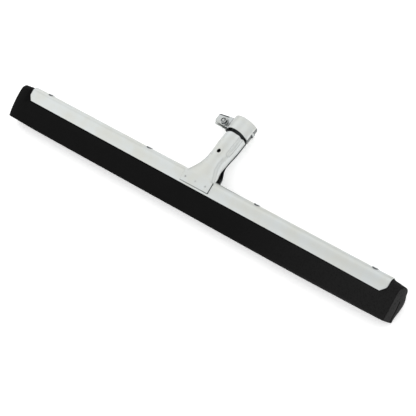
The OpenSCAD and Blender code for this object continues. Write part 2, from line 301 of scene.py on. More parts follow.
def rubber_material(name, dark, dusty, rough, cell_scale, pore_depth):
    material, tree, shader = start_material(name)
    foam = add_node(tree, "ShaderNodeGroup", {"Cell Scale": cell_scale}, node_tree=cells).outputs
    tone = color_mix(tree, foam["Dust"], grey(dark), grey(dusty))
    # Painted light towards the blade's right end, and wear at the toe, from the mesh's points.
    tone = color_mix(tree, mesh_tone(tree, "edge"), tone, grey(LIT_AND_WORN_RUBBER))
    wire(tree, shader["Base Color"], color_mix(tree, foam["Pores"], grey(dark * PORE_SHADE), tone))
    wire(tree, shader["Roughness"], ramp_node(tree, foam["Dust"], 0.0, 1.0, rough, rough + DUST_ROUGHER))
    height = math_node(tree, "ADD", foam["Pores"], foam["Skin"])
    wire(tree, shader["Normal"], bump_node(tree, height, PORE_BUMP, pore_depth))
    shader["Specular IOR Level"].default_value = SHEEN
    return material


rubber_skin = rubber_material("rubber_skin", 0.0026, 0.0047, 0.75, 700.0, 0.00012)
rubber_cut = rubber_material("rubber_cut", 0.026, 0.046, 0.85, 520.0, 0.0003)
print("rubber finishes", rubber_skin.name, rubber_cut.name)

# %% [markdown]
# ## Making sheet
# Channel, pressings and bands are each one thickness of sheet, bent or pressed. So one helper makes them all:
# it is given the outer face and the inner face as a rule of two numbers, lays a grid on both, leaves out the
# holes, and closes the edges with a small round, as a sheared and tumbled edge has. A second rule gives, at
# each point, a thin film and the painted shade that darkens the plating.

# %% Mesh helpers
MERGE = 1e-6


def closed_mesh(name, points, faces, materials, sharp_deg, face_materials=None, tones=None):
    """A new object with a closed mesh, normals outward, smooth but for its sharp edges."""
    mesh = bpy.data.meshes.new(name)
    mesh.from_pydata([tuple(p) for p in np.asarray(points)], [], faces)
    for material in materials:
        mesh.materials.append(material)
    if face_materials is not None:
        mesh.polygons.foreach_set("material_index", face_materials)
    for label, values in (tones or {}).items():
        tone = mesh.attributes.new(label, "FLOAT", "POINT")
        tone.data.foreach_set("value", np.asarray(values, np.float32))
    work = bmesh.new()
    work.from_mesh(mesh)
    bmesh.ops.remove_doubles(work, verts=work.verts, dist=MERGE)
    bmesh.ops.delete(work, geom=[v for v in work.verts if not v.link_faces], context="VERTS")
    bmesh.ops.recalc_face_normals(work, faces=work.faces)
    for face in work.faces:
        face.smooth = True
    limit = math.radians(sharp_deg)
    for edge in work.edges:
        edge.smooth = len(edge.link_faces) == 2 and edge.calc_face_angle() < limit
    work.to_mesh(mesh)
    open_edges = sum(1 for e in work.edges if len(e.link_faces) != 2)
    work.free()
    obj = bpy.data.objects.new(name, mesh)
    bpy.context.scene.collection.objects.link(obj)
    print(name, len(mesh.polygons), "faces,", open_edges, "open edges")
    return obj


def piece(name, points, faces, materials, body, sharp_deg, face_materials=None, tones=None):
    """A finished piece in world metres that rides a body and fills a material slot."""
    obj = closed_mesh(name, points, faces, materials, sharp_deg, face_materials, tones)
    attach(obj, body)
    return obj


def mix(a, b, t):
    return a + (b - a) * t


def ease(value, start, end):
    """0 at start and 1 at end, with a soft turn at both."""
    t = np.clip((value - start) / (end - start), 0, 1)
    return t * t * (3 - 2 * t)


def hump(value, middle, width):
    """1 at the middle, falling away softly on both sides."""
    return np.exp(-((value - middle) / width) ** 2)


def with_lips(low, high, count, lip):
    """Even steps with one more line close to each end, where the edge's round starts."""
    return np.unique(np.concatenate([np.linspace(low, high, count), [low + lip, high - lip]]))


print("mesh helpers ready")

# %% The sheet's skin
EDGE_TURNS = np.radians([50, 0, -50])
EDGE_BULGE = 0.28


class Skin:
    """Collects a sheet's two faces and its edges from the rules surface and dull of (u, v, depth); dull gives
    the film and the painted shade.
    """

    def __init__(self, surface, thickness, dull):
        self.surface, self.thickness, self.dull = surface, thickness, dull
        self.points, self.recess, self.faces = [], [], []
        self.count = 0

    def add(self, points, recess):
        """Adds points and returns their numbers."""
        points = np.asarray(points, float).reshape(-1, 3)
        self.points.append(points)
        self.recess.append(np.clip(np.broadcast_to(recess, len(points)), 0, 1))
        self.count += len(points)
        return np.arange(self.count - len(points), self.count)

    def both(self, u, v):
        """Adds the same places on the outer and the inner face."""
        u, v = np.ravel(u), np.ravel(v)
        return tuple(self.add(self.surface(u, v, depth), self.dull(u, v, depth)) for depth in (0.0, 1.0))

    def quads(self, a, b, c, d):
        self.faces += [tuple(map(int, q)) for q in np.stack([np.ravel(x) for x in (a, b, c, d)], -1)]

    def belt(self, a, b):
        """Faces between two closed loops."""
        self.quads(a, np.roll(a, -1), np.roll(b, -1), b)

    def rim(self, loop_u, loop_v, outer, inner, inside_u, inside_v):
        """Closes one loop of edge points with a small round, away from the points inside it."""
        top, low = (self.surface(loop_u, loop_v, depth) for depth in (0.0, 1.0))
        in_top, in_low = (self.surface(inside_u, inside_v, depth) for depth in (0.0, 1.0))
        away = 0.5 * (top + low) - 0.5 * (in_top + in_low)
        away /= np.linalg.norm(away, axis=-1, keepdims=True) + 1e-12
        before = outer
        for turn in EDGE_TURNS:
            w = 0.5 * (1 + math.sin(turn))
            bulge = EDGE_BULGE * self.thickness * math.cos(turn)
            now = self.add(top * w + low * (1 - w) + away * bulge, self.dull(loop_u, loop_v, 1 - w))
            self.belt(before, now)
            before = now
        self.belt(before, inner)


print("skin ready")

# %% Pressing a sheet
HOLE_STEPS = (0.4, 0.7, 0.88, 1.0)
SHEET_SHARP = 60.0


def block(us, vs, u0, u1, v0, v1):
    """Grid lines nearest to the sides of a rectangle, whose cells are left out for a hole."""
    return [int(np.argmin(np.abs(lines - at))) for lines, at in ((us, u0), (us, u1), (vs, v0), (vs, v1))]


def block_loop(i0, i1, j0, j1):
    """Grid points round a block of cells, in order."""
    loop = [(i, j0) for i in range(i0, i1)] + [(i1, j) for j in range(j0, j1)]
    loop += [(i, j1) for i in range(i1, i0, -1)] + [(i0, j) for j in range(j1, j0, -1)]
    return np.array(loop).T


def press_sheet(surface, us, vs, thickness, dull, holes=()):
    """Points, faces and the film and painted shade of a closed sheet. A hole is a block and a rule for its
    outline.
    """
    skin = Skin(surface, thickness * MM, dull)
    nu, nv = len(us), len(vs)
    grid_u, grid_v = np.meshgrid(us, vs, indexing="ij")
    outer, inner = (ids.reshape(nu, nv) for ids in skin.both(grid_u, grid_v))
    keep = np.ones((nu - 1, nv - 1), bool)
    for (i0, i1, j0, j1), _ in holes:
        keep[i0:i1, j0:j1] = False
    for ids in (outer, inner):
        skin.quads(ids[:-1, :-1][keep], ids[1:, :-1][keep], ids[1:, 1:][keep], ids[:-1, 1:][keep])
    i, j = block_loop(0, nu - 1, 0, nv - 1)
    ii, jj = np.clip(i, 1, nu - 2), np.clip(j, 1, nv - 2)
    skin.rim(us[i], vs[j], outer[i, j], inner[i, j], us[ii], vs[jj])
    for cells_out, outline in holes:
        i, j = block_loop(*cells_out)
        edge_u, edge_v = outline(us[i], vs[j])
        steps = [(mix(us[i], edge_u, w), mix(vs[j], edge_v, w)) for w in HOLE_STEPS]
        before = (outer[i, j], inner[i, j])
        for u, v in steps:
            now = skin.both(u, v)
            for a, b in zip(before, now):
                skin.belt(a, b)
            before = now
        skin.rim(edge_u, edge_v, *before, *steps[-2])
    return np.concatenate(skin.points), skin.faces, np.concatenate(skin.recess)


def sheet_piece(name, sheet, body):
    """A zinc piece from a pressed sheet's points, faces, and film and painted shade."""
    points, faces, recess = sheet
    return piece(name, points, faces, [zinc_sheet], body, SHEET_SHARP, tones={"recess": recess})


print("sheet press ready")

# %% [markdown]
# ## The channel
# One long strip of sheet, folded over a round ridge, grips the rubber between two flanges that lean outward.
# Its lower corners are clipped. A straight cut on a solid would do, but a grid over the fold, with its ends
# drawn in at the corners, gives the clipped ends a soft turn. The plating has a thin film and painted shade:
# darker to the right, darker lines along the bend, the socket's shade on the ridge and shade inside.

# %% Channel rule
SHEET_T, RIDGE_R = 1.2, 6.0
CHANNEL_H, CHANNEL_LEN = 17.6, 520.0
FLANGE = math.radians(8.6)
BEND = 0.42
CORNER_H, LEFT_CORNER, RIGHT_CORNER, CORNER_SOFT = 6.0, 5.0, 6.0, 0.05
RIGHT_SHORT, RIGHT_LOW, RIGHT_SAG = 0.5, 0.4, 0.35


def flank(r, z):
    """Half the fold's width at a height z on its flanges."""
    return (r + (-z - RIDGE_R) * math.sin(FLANGE)) / math.cos(FLANGE)


def fold_point(s, r):
    """Back and up on the fold. s runs from -1 at the front lower edge over the ridge to 1 at the rear one."""
    side = np.sign(s) + (s == 0)
    part = np.abs(s)
    arc = np.clip(part / BEND, 0, 1) * (math.pi / 2 - FLANGE)
    down = np.clip((part - BEND) / (1 - BEND), 0, 1)
    top_up = -RIDGE_R + r * math.sin(FLANGE)
    up = np.where(down > 0, top_up + down * (-CHANNEL_H - top_up), -RIDGE_R + r * np.cos(arc))
    back = np.where(down > 0, flank(r, up), r * np.sin(arc))
    return side * back, up


def channel_face(u, v, depth):
    """The fold, with clipped corners and a lower edge that isn't quite straight."""
    back, up = fold_point(v, RIDGE_R - SHEET_T * depth)
    over = (-up - (CHANNEL_H - CORNER_H)) / CORNER_H / CORNER_SOFT
    corner = np.where(u > 0, RIGHT_CORNER, LEFT_CORNER) * CORNER_SOFT
    cut = corner * np.log1p(np.exp(np.clip(over, -40, 40))) + RIGHT_SHORT * ease(u, 0.9, 1)
    low = (RIGHT_LOW * u + RIGHT_SAG * ease(u, 0.6, 1)) * ease(np.abs(v), BEND, 1)
    return lay(np.stack([u * (CHANNEL_LEN / 2 - cut), back, up - low], -1))


print("flange's half width at its edge", round(flank(RIDGE_R, -CHANNEL_H), 2), "mm")

# %% Channel
# A thin film, painted shade growing to the right, and painted shade inside.
FILM_LEFT, RIGHT_SHADE, INSIDE_SHADE = 0.02, 0.075, 0.9
# Painted shade from the socket on the ridge.
SOCKET_SHADE, SOCKET_SHADE_FROM, SOCKET_SHADE_TO = 0.4, (18, 24), (64, 38)


def channel_shade(u, v, depth):
    """A thin film with painted shade: darker to the right, lines along the front bend, the socket's shade on
    the ridge, and a dark inner face.
    """
    right = ease(u, -1, 1)
    # Painted shade, darker to the right.
    film = FILM_LEFT + RIGHT_SHADE * right
    # Painted shade lines along the front bend, with a lighter line between them.
    film += mix(0.025, 0.06, right) * hump(v, -0.63, 0.2)
    film += mix(0.13, 0.09, right) * hump(v, mix(-0.35, -0.23, right), 0.06)
    film -= 0.05 * right * hump(v, -0.385, 0.05)
    x = u * CHANNEL_LEN / 2
    # Painted shade from the socket on the back of the ridge.
    film += SOCKET_SHADE * hump(v, 0, 0.11) * ease(x, *SOCKET_SHADE_FROM) * ease(x, *SOCKET_SHADE_TO)
    # Painted shade on the inner face.
    return np.where(depth > 0.6, INSIDE_SHADE, film)


channel_u = np.unique(np.concatenate([with_lips(-1, 1, 41, 0.0015), [-0.99, 0.99]]))
channel_v = np.unique(np.concatenate([np.linspace(-BEND, BEND, 33), with_lips(-1, -BEND, 9, 0.02),
                                      with_lips(BEND, 1, 9, 0.02)]))
channel_sheet = press_sheet(channel_face, channel_u, channel_v, SHEET_T, channel_shade)
channel = sheet_piece("steel_channel", channel_sheet, "head")
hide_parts("channel")

# %% [markdown]
# ## The two socket pressings
# Front and rear shell are flat plates where they are welded to the channel, and flare into a half tube for
# the handle. The front one swells just above its plate. It carries two pressed grooves for stiffness, soft
# creases that run from them to the plate, weld marks and a screw hole. The rear one's edges are set out a
# little, to pass the front one's. All of it is one rule: the smooth shape first, then a small push along the
# surface's own outward direction.

# %% Shell rule
THROAT_R, BORE_R = 10.8, 12.2
THROAT_A, BORE_A = 38.0, 58.0
FOOT_LOW, FOOT_LEN, FLARE_LEN = -15.3, 12.0, 30.0
TUBE_V = FOOT_LEN + FLARE_LEN
AXIS = np.array([math.sin(LEAN), math.cos(LEAN)])


def bezier(p, t):
    t = np.asarray(t)[..., None]
    return (1 - t) ** 3 * p[0] + 3 * (1 - t) ** 2 * t * p[1] + 3 * (1 - t) * t * t * p[2] + t ** 3 * p[3]


class Shell:
    """Sizes and guide lines of one pressing. side is 1 at the front and -1 at the rear."""

    def __init__(self, side, top_up, base_w, span_deg, top_a):
        self.side, self.top_up, self.base = side, top_up, base_w / 2
        self.span, self.top_a = math.radians(span_deg), top_a
        start = np.array([-side * flank(RIDGE_R, top_up), top_up])
        mid_end = socket_back_up(THROAT_A, side * THROAT_R)
        end = socket_back_up(THROAT_A, 0)
        # Each guide line is a curve with a handle at both ends, in millimetres.
        if side > 0:
            along = np.array([math.sin(FLANGE), math.cos(FLANGE)])
            self.middle = [start, start + 6 * along, mid_end - 12 * AXIS, mid_end]
            self.centre = [start, start + np.array([4.3, 2.0]), end - 11 * AXIS, end]
            self.power, self.wider, self.deeper = 1.42, 1.9, 2.3
        else:
            self.middle = [start, start + 6 * AXIS, mid_end - 16 * AXIS, mid_end]
            self.centre = [start, start + 8 * AXIS, end - 9 * AXIS, end]
            self.power, self.wider, self.deeper = 1.2, 0.0, 0.0
        self.flat_out = np.array([-side * math.cos(FLANGE), math.sin(FLANGE)])
        self.tube_out = np.array([-side * math.cos(LEAN), side * math.sin(LEAN)])

    def flare(self, v, angle, t, lift):
        """Points and outward push on the plate and on the flare, t from 0 at the plate to 1 at the tube."""
        round_part = ease(t, 0, 1)
        out = mix(self.flat_out, self.tube_out, round_part[..., None])
        out /= np.linalg.norm(out, axis=-1, keepdims=True)
        swollen = ease(t, 0, 0.12) * ease(t, 0.8, 0.3)
        mid = bezier(self.middle, t) + lift * out
        centre = bezier(self.centre, t) + (lift * (1 - round_part))[..., None] * out
        centre[..., 0] += self.deeper * swollen
        half = mix(THROAT_R, self.base, (1 - t) ** self.power) + lift * round_part + self.wider * swollen
        back_up = centre + (mid - centre) * np.cos(angle)[..., None]
        foot_up = mix(FOOT_LOW, self.top_up, np.clip(v / FOOT_LEN, 0, 1))
        foot_mid = np.stack([-self.side * flank(RIDGE_R, foot_up), foot_up], -1) + lift * out
        back_up = np.where((v < FOOT_LEN)[..., None], foot_mid, back_up)
        points = np.concatenate([(half * np.sin(angle))[..., None], back_up], -1)
        bow = np.linalg.norm(mid - centre, axis=-1) * (v >= FOOT_LEN)
        push_out = (half * np.cos(angle) + 1e-6)[..., None] * out
        return points, np.concatenate([(bow * np.sin(angle))[..., None], push_out], -1)

    def section(self, u, v, lift):
        """Points in the blade frame with their outward push, and the angle and reach along the socket."""
        t = np.clip((v - FOOT_LEN) / FLARE_LEN, 0, 1)
        angle = u * mix(math.pi / 2, self.span, ease(t, 0, 1))
        points, push = self.flare(v, angle, t, lift)
        reach = (v - TUBE_V) / (self.top_a - THROAT_A)
        a_tube = THROAT_A + np.clip(reach, 0, 1) * (self.edge_a(angle) - THROAT_A)
        a = np.where(reach > 0, a_tube, THROAT_A - FLARE_LEN * (1 - t))
        r = np.interp(a, [THROAT_A, BORE_A], [THROAT_R, BORE_R]) + lift
        tube = from_socket(r * np.sin(angle), self.side * r * np.cos(angle), a)
        tube_push = from_socket(np.sin(angle), self.side * np.cos(angle), 0 * a) - from_socket(0, 0, 0)
        on_tube = (reach > 0)[..., None]
        push = np.where(on_tube, tube_push, push)
        push /= np.linalg.norm(push, axis=-1, keepdims=True)
        return np.where(on_tube, tube, points), push, angle, a

    def edge_a(self, angle):
        """How far along the socket the upper edge is."""
        return np.full_like(angle, self.top_a)


print("shell rule ready")

# %% Front shell rule
SEAM_BACK, SEAM_GAP = 24, 1.71
GROOVE_AT = math.radians(57)
GROOVE_HALF, GROOVE_END, GROOVE_DEPTH = 3.3, 49.0, 0.4
SCREW_A, SCREW_R = 45.7, 2.75
WELDS, WELD_UP = ((-15.2, 1.0), (-0.7, 0.5), (13.8, 0.8)), -9.3
TUBE_R = THROAT_R + SHEET_T
CREASE_V = [14.0, 18.0, 24.0, 30.0, 37.0, 42.0]
CREASE_X = [17.5, 16.0, 13.3, 10.4, 8.7, 8.9]
CREASE_STEP, CREASE_SINK, CREASE_SOFT = 0.75, 0.55, 1.1
EDGE_DIP, EDGE_RISE, EDGE_FALL = 1.2, 0.9, 1.8
WELD_DENT, WELD_R, WELD_RING, WELD_RING_R, WELD_RING_W = 0.5, 1.1, 0.1, 2.1, 0.6
RIM_DISH, RIM_SOFT = 0.5, 0.9


class FrontShell(Shell):
    def edge_a(self, angle):
        """The edge dips where the grooves run out through it, rises to the right and is lower at the left."""
        aside = np.abs(np.abs(angle) - GROOVE_AT) * TUBE_R
        level = EDGE_RISE * ease(angle, 0.3, 1.2) - EDGE_FALL * ease(angle, -0.1, -0.7)
        return self.top_a + level - EDGE_DIP * ease(aside, GROOVE_HALF, 0)


front = FrontShell(1, -2.4, 39.8, 90 + SEAM_BACK - SEAM_GAP, 73.0)


def groove_far(angle, a):
    """Distance from a groove's middle line, in units of its half width. The groove has a round lower end."""
    return np.hypot((np.abs(angle) - GROOVE_AT) * TUBE_R, np.clip(a - GROOVE_END, None, 0)) / GROOVE_HALF


def crease_off(x, v):
    """How far outside the crease line a point of the flare is."""
    return np.abs(x) - np.interp(v, CREASE_V, CREASE_X)


def weld_marks(x, v, width, ring=0.0):
    """Height of the weld marks on the plate: a round hump, or a ring round it."""
    up = mix(FOOT_LOW, front.top_up, v / FOOT_LEN)
    marks = sum(share * hump(np.hypot(x - at, up - WELD_UP), ring, width) for at, share in WELDS)
    return marks * (v < FOOT_LEN + 4)


def front_face(u, v, depth):
    """The front pressing, with its grooves, creases, weld marks and the dished rim of the screw hole."""
    points, push, angle, a = front.section(u, v, SHEET_T * (1 - depth))
    x = points[..., 0]
    move = -GROOVE_DEPTH * ease(groove_far(angle, a), 1, 0.65) * (v > TUBE_V)
    flare = ease(v, FOOT_LEN, FOOT_LEN + 9) * ease(v, TUBE_V + 7, TUBE_V)
    move += flare * (CREASE_STEP * ease(crease_off(x, v), -CREASE_SOFT, CREASE_SOFT) - CREASE_SINK)
    move += WELD_RING * weld_marks(x, v, WELD_RING_W, WELD_RING_R) - WELD_DENT * weld_marks(x, v, WELD_R)
    rim = RIM_DISH * hump(np.hypot(x, a - SCREW_A), SCREW_R, RIM_SOFT)
    move -= rim * (a > THROAT_A - 2) * (np.abs(angle) < 1.2)
    return lay(points + move[..., None] * push)


print("front shell's span", round(math.degrees(2 * front.span), 1), "degrees")

# %% Front shell
# A thin film, and the darkest painted shade.
FILM, DEEP_SHADE = 0.09, 0.95
# Painted shade at grooves and creases; darker weld marks.
GROOVE_SHADE, CREASE_SHADE, WELD_TONE = 0.16, 0.17, 0.6
# Painted shadow along the plate's lower edge.
PLATE_EDGE_SHADE, PLATE_EDGE_SHADE_RIGHT = 0.5, 0.35
SCREW_V, SCREW_ROOM, SCREW_ROOM_U = TUBE_V + 8, 4.2, 0.19


def front_shade(u, v, depth):
    """Painted shade inside, along the seams' edges and at the plate's lower edge, with painted shade lines at
    grooves and creases, darker weld marks and a thin film.
    """
    points, _, angle, a = front.section(u, v, SHEET_T)
    x = points[..., 0]
    # Painted shade lines at the grooves' edges and on the creases' slopes.
    lines = GROOVE_SHADE * hump(groove_far(angle, a), 0.85, 0.13) * (v > TUBE_V)
    slope = hump(crease_off(x, v), 0, 0.8)
    lines += CREASE_SHADE * slope * ease(v, FOOT_LEN, FOOT_LEN + 6) * ease(v, TUBE_V + 6, TUBE_V + 2)
    lines += FILM + WELD_TONE * weld_marks(x, v, 1.0)
    # Painted shade on the inner face and on the seam edges.
    inside = np.where((depth > 0.2) | (np.abs(u) > 0.99) & (depth > 0.05), DEEP_SHADE, 0)
    # Painted shadow along the plate's lower edge, darker to the right.
    lower_edge = np.where(v < 0.3, PLATE_EDGE_SHADE + PLATE_EDGE_SHADE_RIGHT * ease(u, -1, 1), 0)
    return np.max([inside, lower_edge, lines], 0)


def screw_outline(u, v):
    """Carries grid points round the screw hole onto the hole's circle."""
    v_mid = TUBE_V + (SCREW_A - THROAT_A)
    width = front.span * (TUBE_R + 0.56)
    turn_to = np.arctan2(v - v_mid, u * width)
    return SCREW_R * np.cos(turn_to) / width, v_mid + SCREW_R * np.sin(turn_to)


front_u = with_lips(-1, 1, 161, 0.006)
front_v = with_lips(0, TUBE_V + 35.0, 141, 0.25)
screw_block = block(front_u, front_v, -SCREW_ROOM_U, SCREW_ROOM_U, SCREW_V - SCREW_ROOM, SCREW_V + SCREW_ROOM)
front_sheet = press_sheet(front_face, front_u, front_v, SHEET_T, front_shade, [(screw_block, screw_outline)])
front_shell = sheet_piece("front_pressing", front_sheet, "head")
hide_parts("front_shell")

# %% Rear shell
LIP_FROM, LIP_TO, LIP_OUT, LIP_WIDER = 0.8, 0.9, 0.95, 0.03
REAR_MARKS, REAR_MARK_UP, REAR_MARK_R, REAR_DENT = (-17.0, 0.0, 17.0), -12.4, 1.25, 0.5
REAR_BULGE, RIB_OUT, RIB_X, RIB_W = 1.2, 0.5, 9.0, 1.8
GAP_LIGHT = 0.8
rear = Shell(-1, -9.4, 50.0, 90 - SEAM_BACK - SEAM_GAP, MOUTH_A - RING_DROP)


def rear_lip(u, v):
    """How far the rear shell's edges are set out, to pass the front one's, below the clamp ring."""
    along = ease(v, FOOT_LEN + 6, FOOT_LEN + 16) * ease(v, TUBE_V + 39.5, TUBE_V + 36)
    return ease(np.abs(u), LIP_FROM, LIP_TO) * along


def rear_face(u, v, depth):
    """The rear pressing, with its lips, its weld marks and a soft rib at each side of the flare."""
    lip = rear_lip(u, v)
    points, push, *_ = rear.section(u * (1 + LIP_WIDER * lip), v, SHEET_T * (1 - depth))
    points[..., 0] += REAR_BULGE * ease(u, 0.3, 0.8) * hump(v, 29, 6)
    x = points[..., 0]
    up = mix(FOOT_LOW, rear.top_up, v / FOOT_LEN)
    marks = sum(hump(np.hypot(x - at, up - REAR_MARK_UP), 0, REAR_MARK_R) for at in REAR_MARKS)
    flare = ease(v, FOOT_LEN, FOOT_LEN + 9) * ease(v, TUBE_V + 8, TUBE_V - 2)
    move = LIP_OUT * lip - REAR_DENT * marks * (v < FOOT_LEN + 2)
    move += RIB_OUT * flare * hump(np.abs(x), RIB_X, RIB_W)
    return lay(points + move[..., None] * push)


def rear_shade(u, v, depth):
    """Painted shade inside and at the lips, with a painted lighter spot inside, in the gap at the foot."""
    # Painted shade at the lips along the seams.
    seam = FILM + (DEEP_SHADE - FILM) * ease(np.abs(u), LIP_FROM, LIP_TO) * (v > FOOT_LEN * 0.5)
    # Painted shade inside, with a painted lighter spot at the foot.
    inside = DEEP_SHADE - GAP_LIGHT * ease(u, 0.2, 0.6) * hump(v, 19, 7)
    return np.where(depth > 0.2, inside, seam)


rear_u = with_lips(-1, 1, 121, 0.006)
rear_v = with_lips(0, TUBE_V + 58.0, 121, 0.25)
rear_sheet = press_sheet(rear_face, rear_u, rear_v, SHEET_T, rear_shade)
rear_shell = sheet_piece("rear_pressing", rear_sheet, "head")
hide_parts("rear_shell")

# %% [markdown]
# ## The clamp ring
# Two bands make the ring. Each runs round the socket and bends out into an ear for the bolt. The front one
# also has a tongue that hooks through a slot in the rear one, so it can swing when the nut is turned. A band
# is a path with a thickness to the inside and a width along the socket, so the bends come out rounded.

# %% Band path
BAND_T, BAND_W, EAR_TOP, BEND_R = 1.5, 17.5, 3.0, 2.4
BAND_MID = MOUTH_A - BAND_W / 2
EAR_ROOT, EAR_END, TIP_R = 7.6, 5.7, 1.8
END_FLARE, END_FLARE_LEN, END_DROP_LEN = 0.9, 7, 14


def band_path(radius, start_deg, reach, rear_side):
    """A rule of length along the band: x, front and their outward normal; and the lengths of its parts."""
    n_c = EAR_TOP + BEND_R
    x_c = -math.sqrt((radius + BEND_R) ** 2 - n_c ** 2)
    first = math.radians(180 - start_deg if rear_side else start_deg)
    last = math.atan2(x_c, n_c)
    flip = -1 if rear_side else 1
    ring_len, bend_len, ear_len = radius * (first - last), BEND_R * (-last), reach + x_c

    def rule(s):
        turn_at = first - np.clip(s, None, ring_len) / radius
        bend_at = math.pi + last * (1 - np.clip((s - ring_len) / bend_len, 0, 1))
        in_bend = s > ring_len
        x = np.where(in_bend, x_c + BEND_R * np.sin(bend_at), radius * np.sin(turn_at))
        n = np.where(in_bend, n_c + BEND_R * np.cos(bend_at), radius * np.cos(turn_at))
        nx = np.where(in_bend, -np.sin(bend_at), np.sin(turn_at))
        nn = np.where(in_bend, -np.cos(bend_at), np.cos(turn_at))
        return x - np.clip(s - ring_len - bend_len, 0, None), flip * n, nx, flip * nn

    return rule, (ring_len, bend_len, ear_len)


def band_half(s, lengths):
    """Half the band's width: full on the ring, tapering along the ear, with a rounded tip."""
    ring_len, bend_len, ear_len = lengths
    ear = (s - ring_len - bend_len * 0.5) / (ear_len + bend_len * 0.5)
    half = mix(BAND_W / 2, EAR_ROOT, ease(s, ring_len - 3, ring_len + bend_len))
    half = np.where(ear > 0, mix(EAR_ROOT, EAR_END, np.clip(ear, 0, 1)), half)
    left = np.clip(TIP_R - (sum(lengths) - s), 0, TIP_R)
    return half - (TIP_R - np.sqrt(TIP_R ** 2 - left ** 2))


def band_face(rule, lengths, trim, end_drop, bend_low):
    """A band's faces. trim is off the ear's lower edge; the drops are of the lower edge elsewhere."""
    ring_end, bend_end = np.cumsum(lengths)[:2]

    def face(u, v, depth):
        x, n, nx, nn = rule(u)
        ear = ease(u, ring_end - 6, bend_end)
        low = end_drop * ease(u, END_DROP_LEN, 0) + bend_low * hump(u, bend_end + 0.5, 4)
        a = BAND_MID - RING_DROP * (1 - ear) - 0.5 * (1 - v) * low
        a = a + 0.5 * trim * ear + v * (band_half(u, lengths) - 0.5 * trim * ear)
        deep = depth * BAND_T - END_FLARE * ease(u, END_FLARE_LEN, 0)
        return lay(from_clamp(x - deep * nx, n - deep * nn, a))

    return face


print("band rules ready")

# %% Ear and plating of a band
BOLT_X, BOLT_DROP, EAR_HOLE_R = 25.0, 1.8, 3.1
# Room round the hole, and the place and width of the painted shadow round the washer.
HOLE_ROOM, NUT_SHADOW_R, NUT_SHADOW_W = 4.2, 4.85, 0.4
# Painted shade inside, in the bend, under the ear and on the ring.
IN_SHADE, BEND_SHADE, UNDER_SHADE, RING_SHADE = 0.92, 0.8, 0.5, 0.18


def ear_hole(lengths, reach, trim):
    """Where the bolt's hole is along the band, half the width there, and how far it is below the middle."""
    at = sum(lengths) - (reach - BOLT_X)
    return at, float(band_half(at, lengths)) - 0.5 * trim, BOLT_DROP + 0.5 * trim


def hole_outline(at, half, low):
    """Carries grid points onto the hole's circle."""
    def outline(u, v):
        turn_to = np.arctan2(v * half + low, u - at)
        return at + EAR_HOLE_R * np.cos(turn_to), (EAR_HOLE_R * np.sin(turn_to) - low) / half

    return outline


def band_lines(lengths, at):
    """Grid lines along a band, close together round the hole, in the bend and at the tip."""
    ring_end, bend_end, end = np.cumsum(lengths)
    room = 1.5 * HOLE_ROOM
    others = np.concatenate([np.linspace(0, ring_end, 61), np.linspace(ring_end, bend_end, 13),
                             np.linspace(bend_end, end, 15), end - np.array([1.8, 1.2, 0.6, 0.25, 0.1])])
    others = others[np.abs(others - at) > room + 0.3]
    return np.unique(np.concatenate([others, np.arange(at - room, at + room + 0.1, HOLE_ROOM / 6), [0.2]]))


def band_shade(lengths, hole, end_shade, end_len):
    """Painted shade inside the ring, at its free end, in the bend, along the ear's edges and round the washer
    on the ring's side, over a thin film.
    """
    at, half, drop = hole
    ring_end, bend_end = np.cumsum(lengths)[:2]

    def dull(u, v, depth):
        # Painted shadow of the washer and nut on the ear, on the ring's side.
        seat = DEEP_SHADE * hump(np.hypot(u - at, v * half + drop), NUT_SHADOW_R, NUT_SHADOW_W) * ease(u, at + 4.5, at + 1.5)
        # Painted shade inside, in the bend and along the lower edge near the bend.
        inside = IN_SHADE * ease(u, bend_end + 4.5, bend_end + 2.5) * depth
        bend = BEND_SHADE * hump(u, bend_end, 0.7)
        under = ease(v, -0.7, -0.85) * ease(u, ring_end - 3, ring_end - 1) * ease(u, bend_end + 3, bend_end)
        # Painted shade along the ear's upper edge and at the band's free end.
        brow = DEEP_SHADE * ease(v, 0.7, 0.8) * ease(u, at - 3, at)
        free_end = end_shade * ease(u, end_len, 0.6 * end_len)
        # A thin film, with painted shade on the ring towards its ear.
        film = FILM + RING_SHADE * ease(u, 0.55 * ring_end, 0.85 * ring_end)
        return np.max([seat, inside, bend, UNDER_SHADE * under, brow, free_end, film], 0)

    return dull


print("ear rules ready")

# %% Strap ring with its ear
STRAP_START, STRAP_REACH, STRAP_TRIM, STRAP_DROP = 87.0, 38.0, 1.2, 1.1
# Painted shade at the strap's free end.
STRAP_END_SHADE, STRAP_END_LEN = 0.6, 0.7
STRAP_ROWS = (-0.93, 0.36)
strap_rule, strap_lengths = band_path(STRAP_R, STRAP_START, STRAP_REACH, False)
strap_hole = ear_hole(strap_lengths, STRAP_REACH, STRAP_TRIM)
strap_u = band_lines(strap_lengths, strap_hole[0])
strap_v = with_lips(-1, 1, 29, 0.03)
strap_block = block(strap_u, strap_v, strap_hole[0] - HOLE_ROOM, strap_hole[0] + HOLE_ROOM, *STRAP_ROWS)
strap_sheet = press_sheet(
    band_face(strap_rule, strap_lengths, STRAP_TRIM, STRAP_DROP, 0.0), strap_u, strap_v, BAND_T,
    band_shade(strap_lengths, strap_hole, STRAP_END_SHADE, STRAP_END_LEN),
    [(strap_block, hole_outline(*strap_hole))])
print("strap length", round(sum(strap_lengths), 2), "mm")

# %% Strap tongue
TONGUE_TURN = np.radians([72, 78, 83, 87, 90, 95, 100, 103, 105, 106.5, 107.5])
TONGUE_R = [14.6, 14.8, 15.9, 17.05, 17.35, 17.35, 17.3, 17.15, 16.6, 15.5, 14.4]
TONGUE_T, TONGUE_HALF = 0.95 * BAND_T, 2.25
# A film on the hook, with painted shade at its sides and inside.
TONGUE_FILM, TONGUE_SIDE_SHADE, TONGUE_INSIDE_SHADE = 0.25, 0.6, 0.9


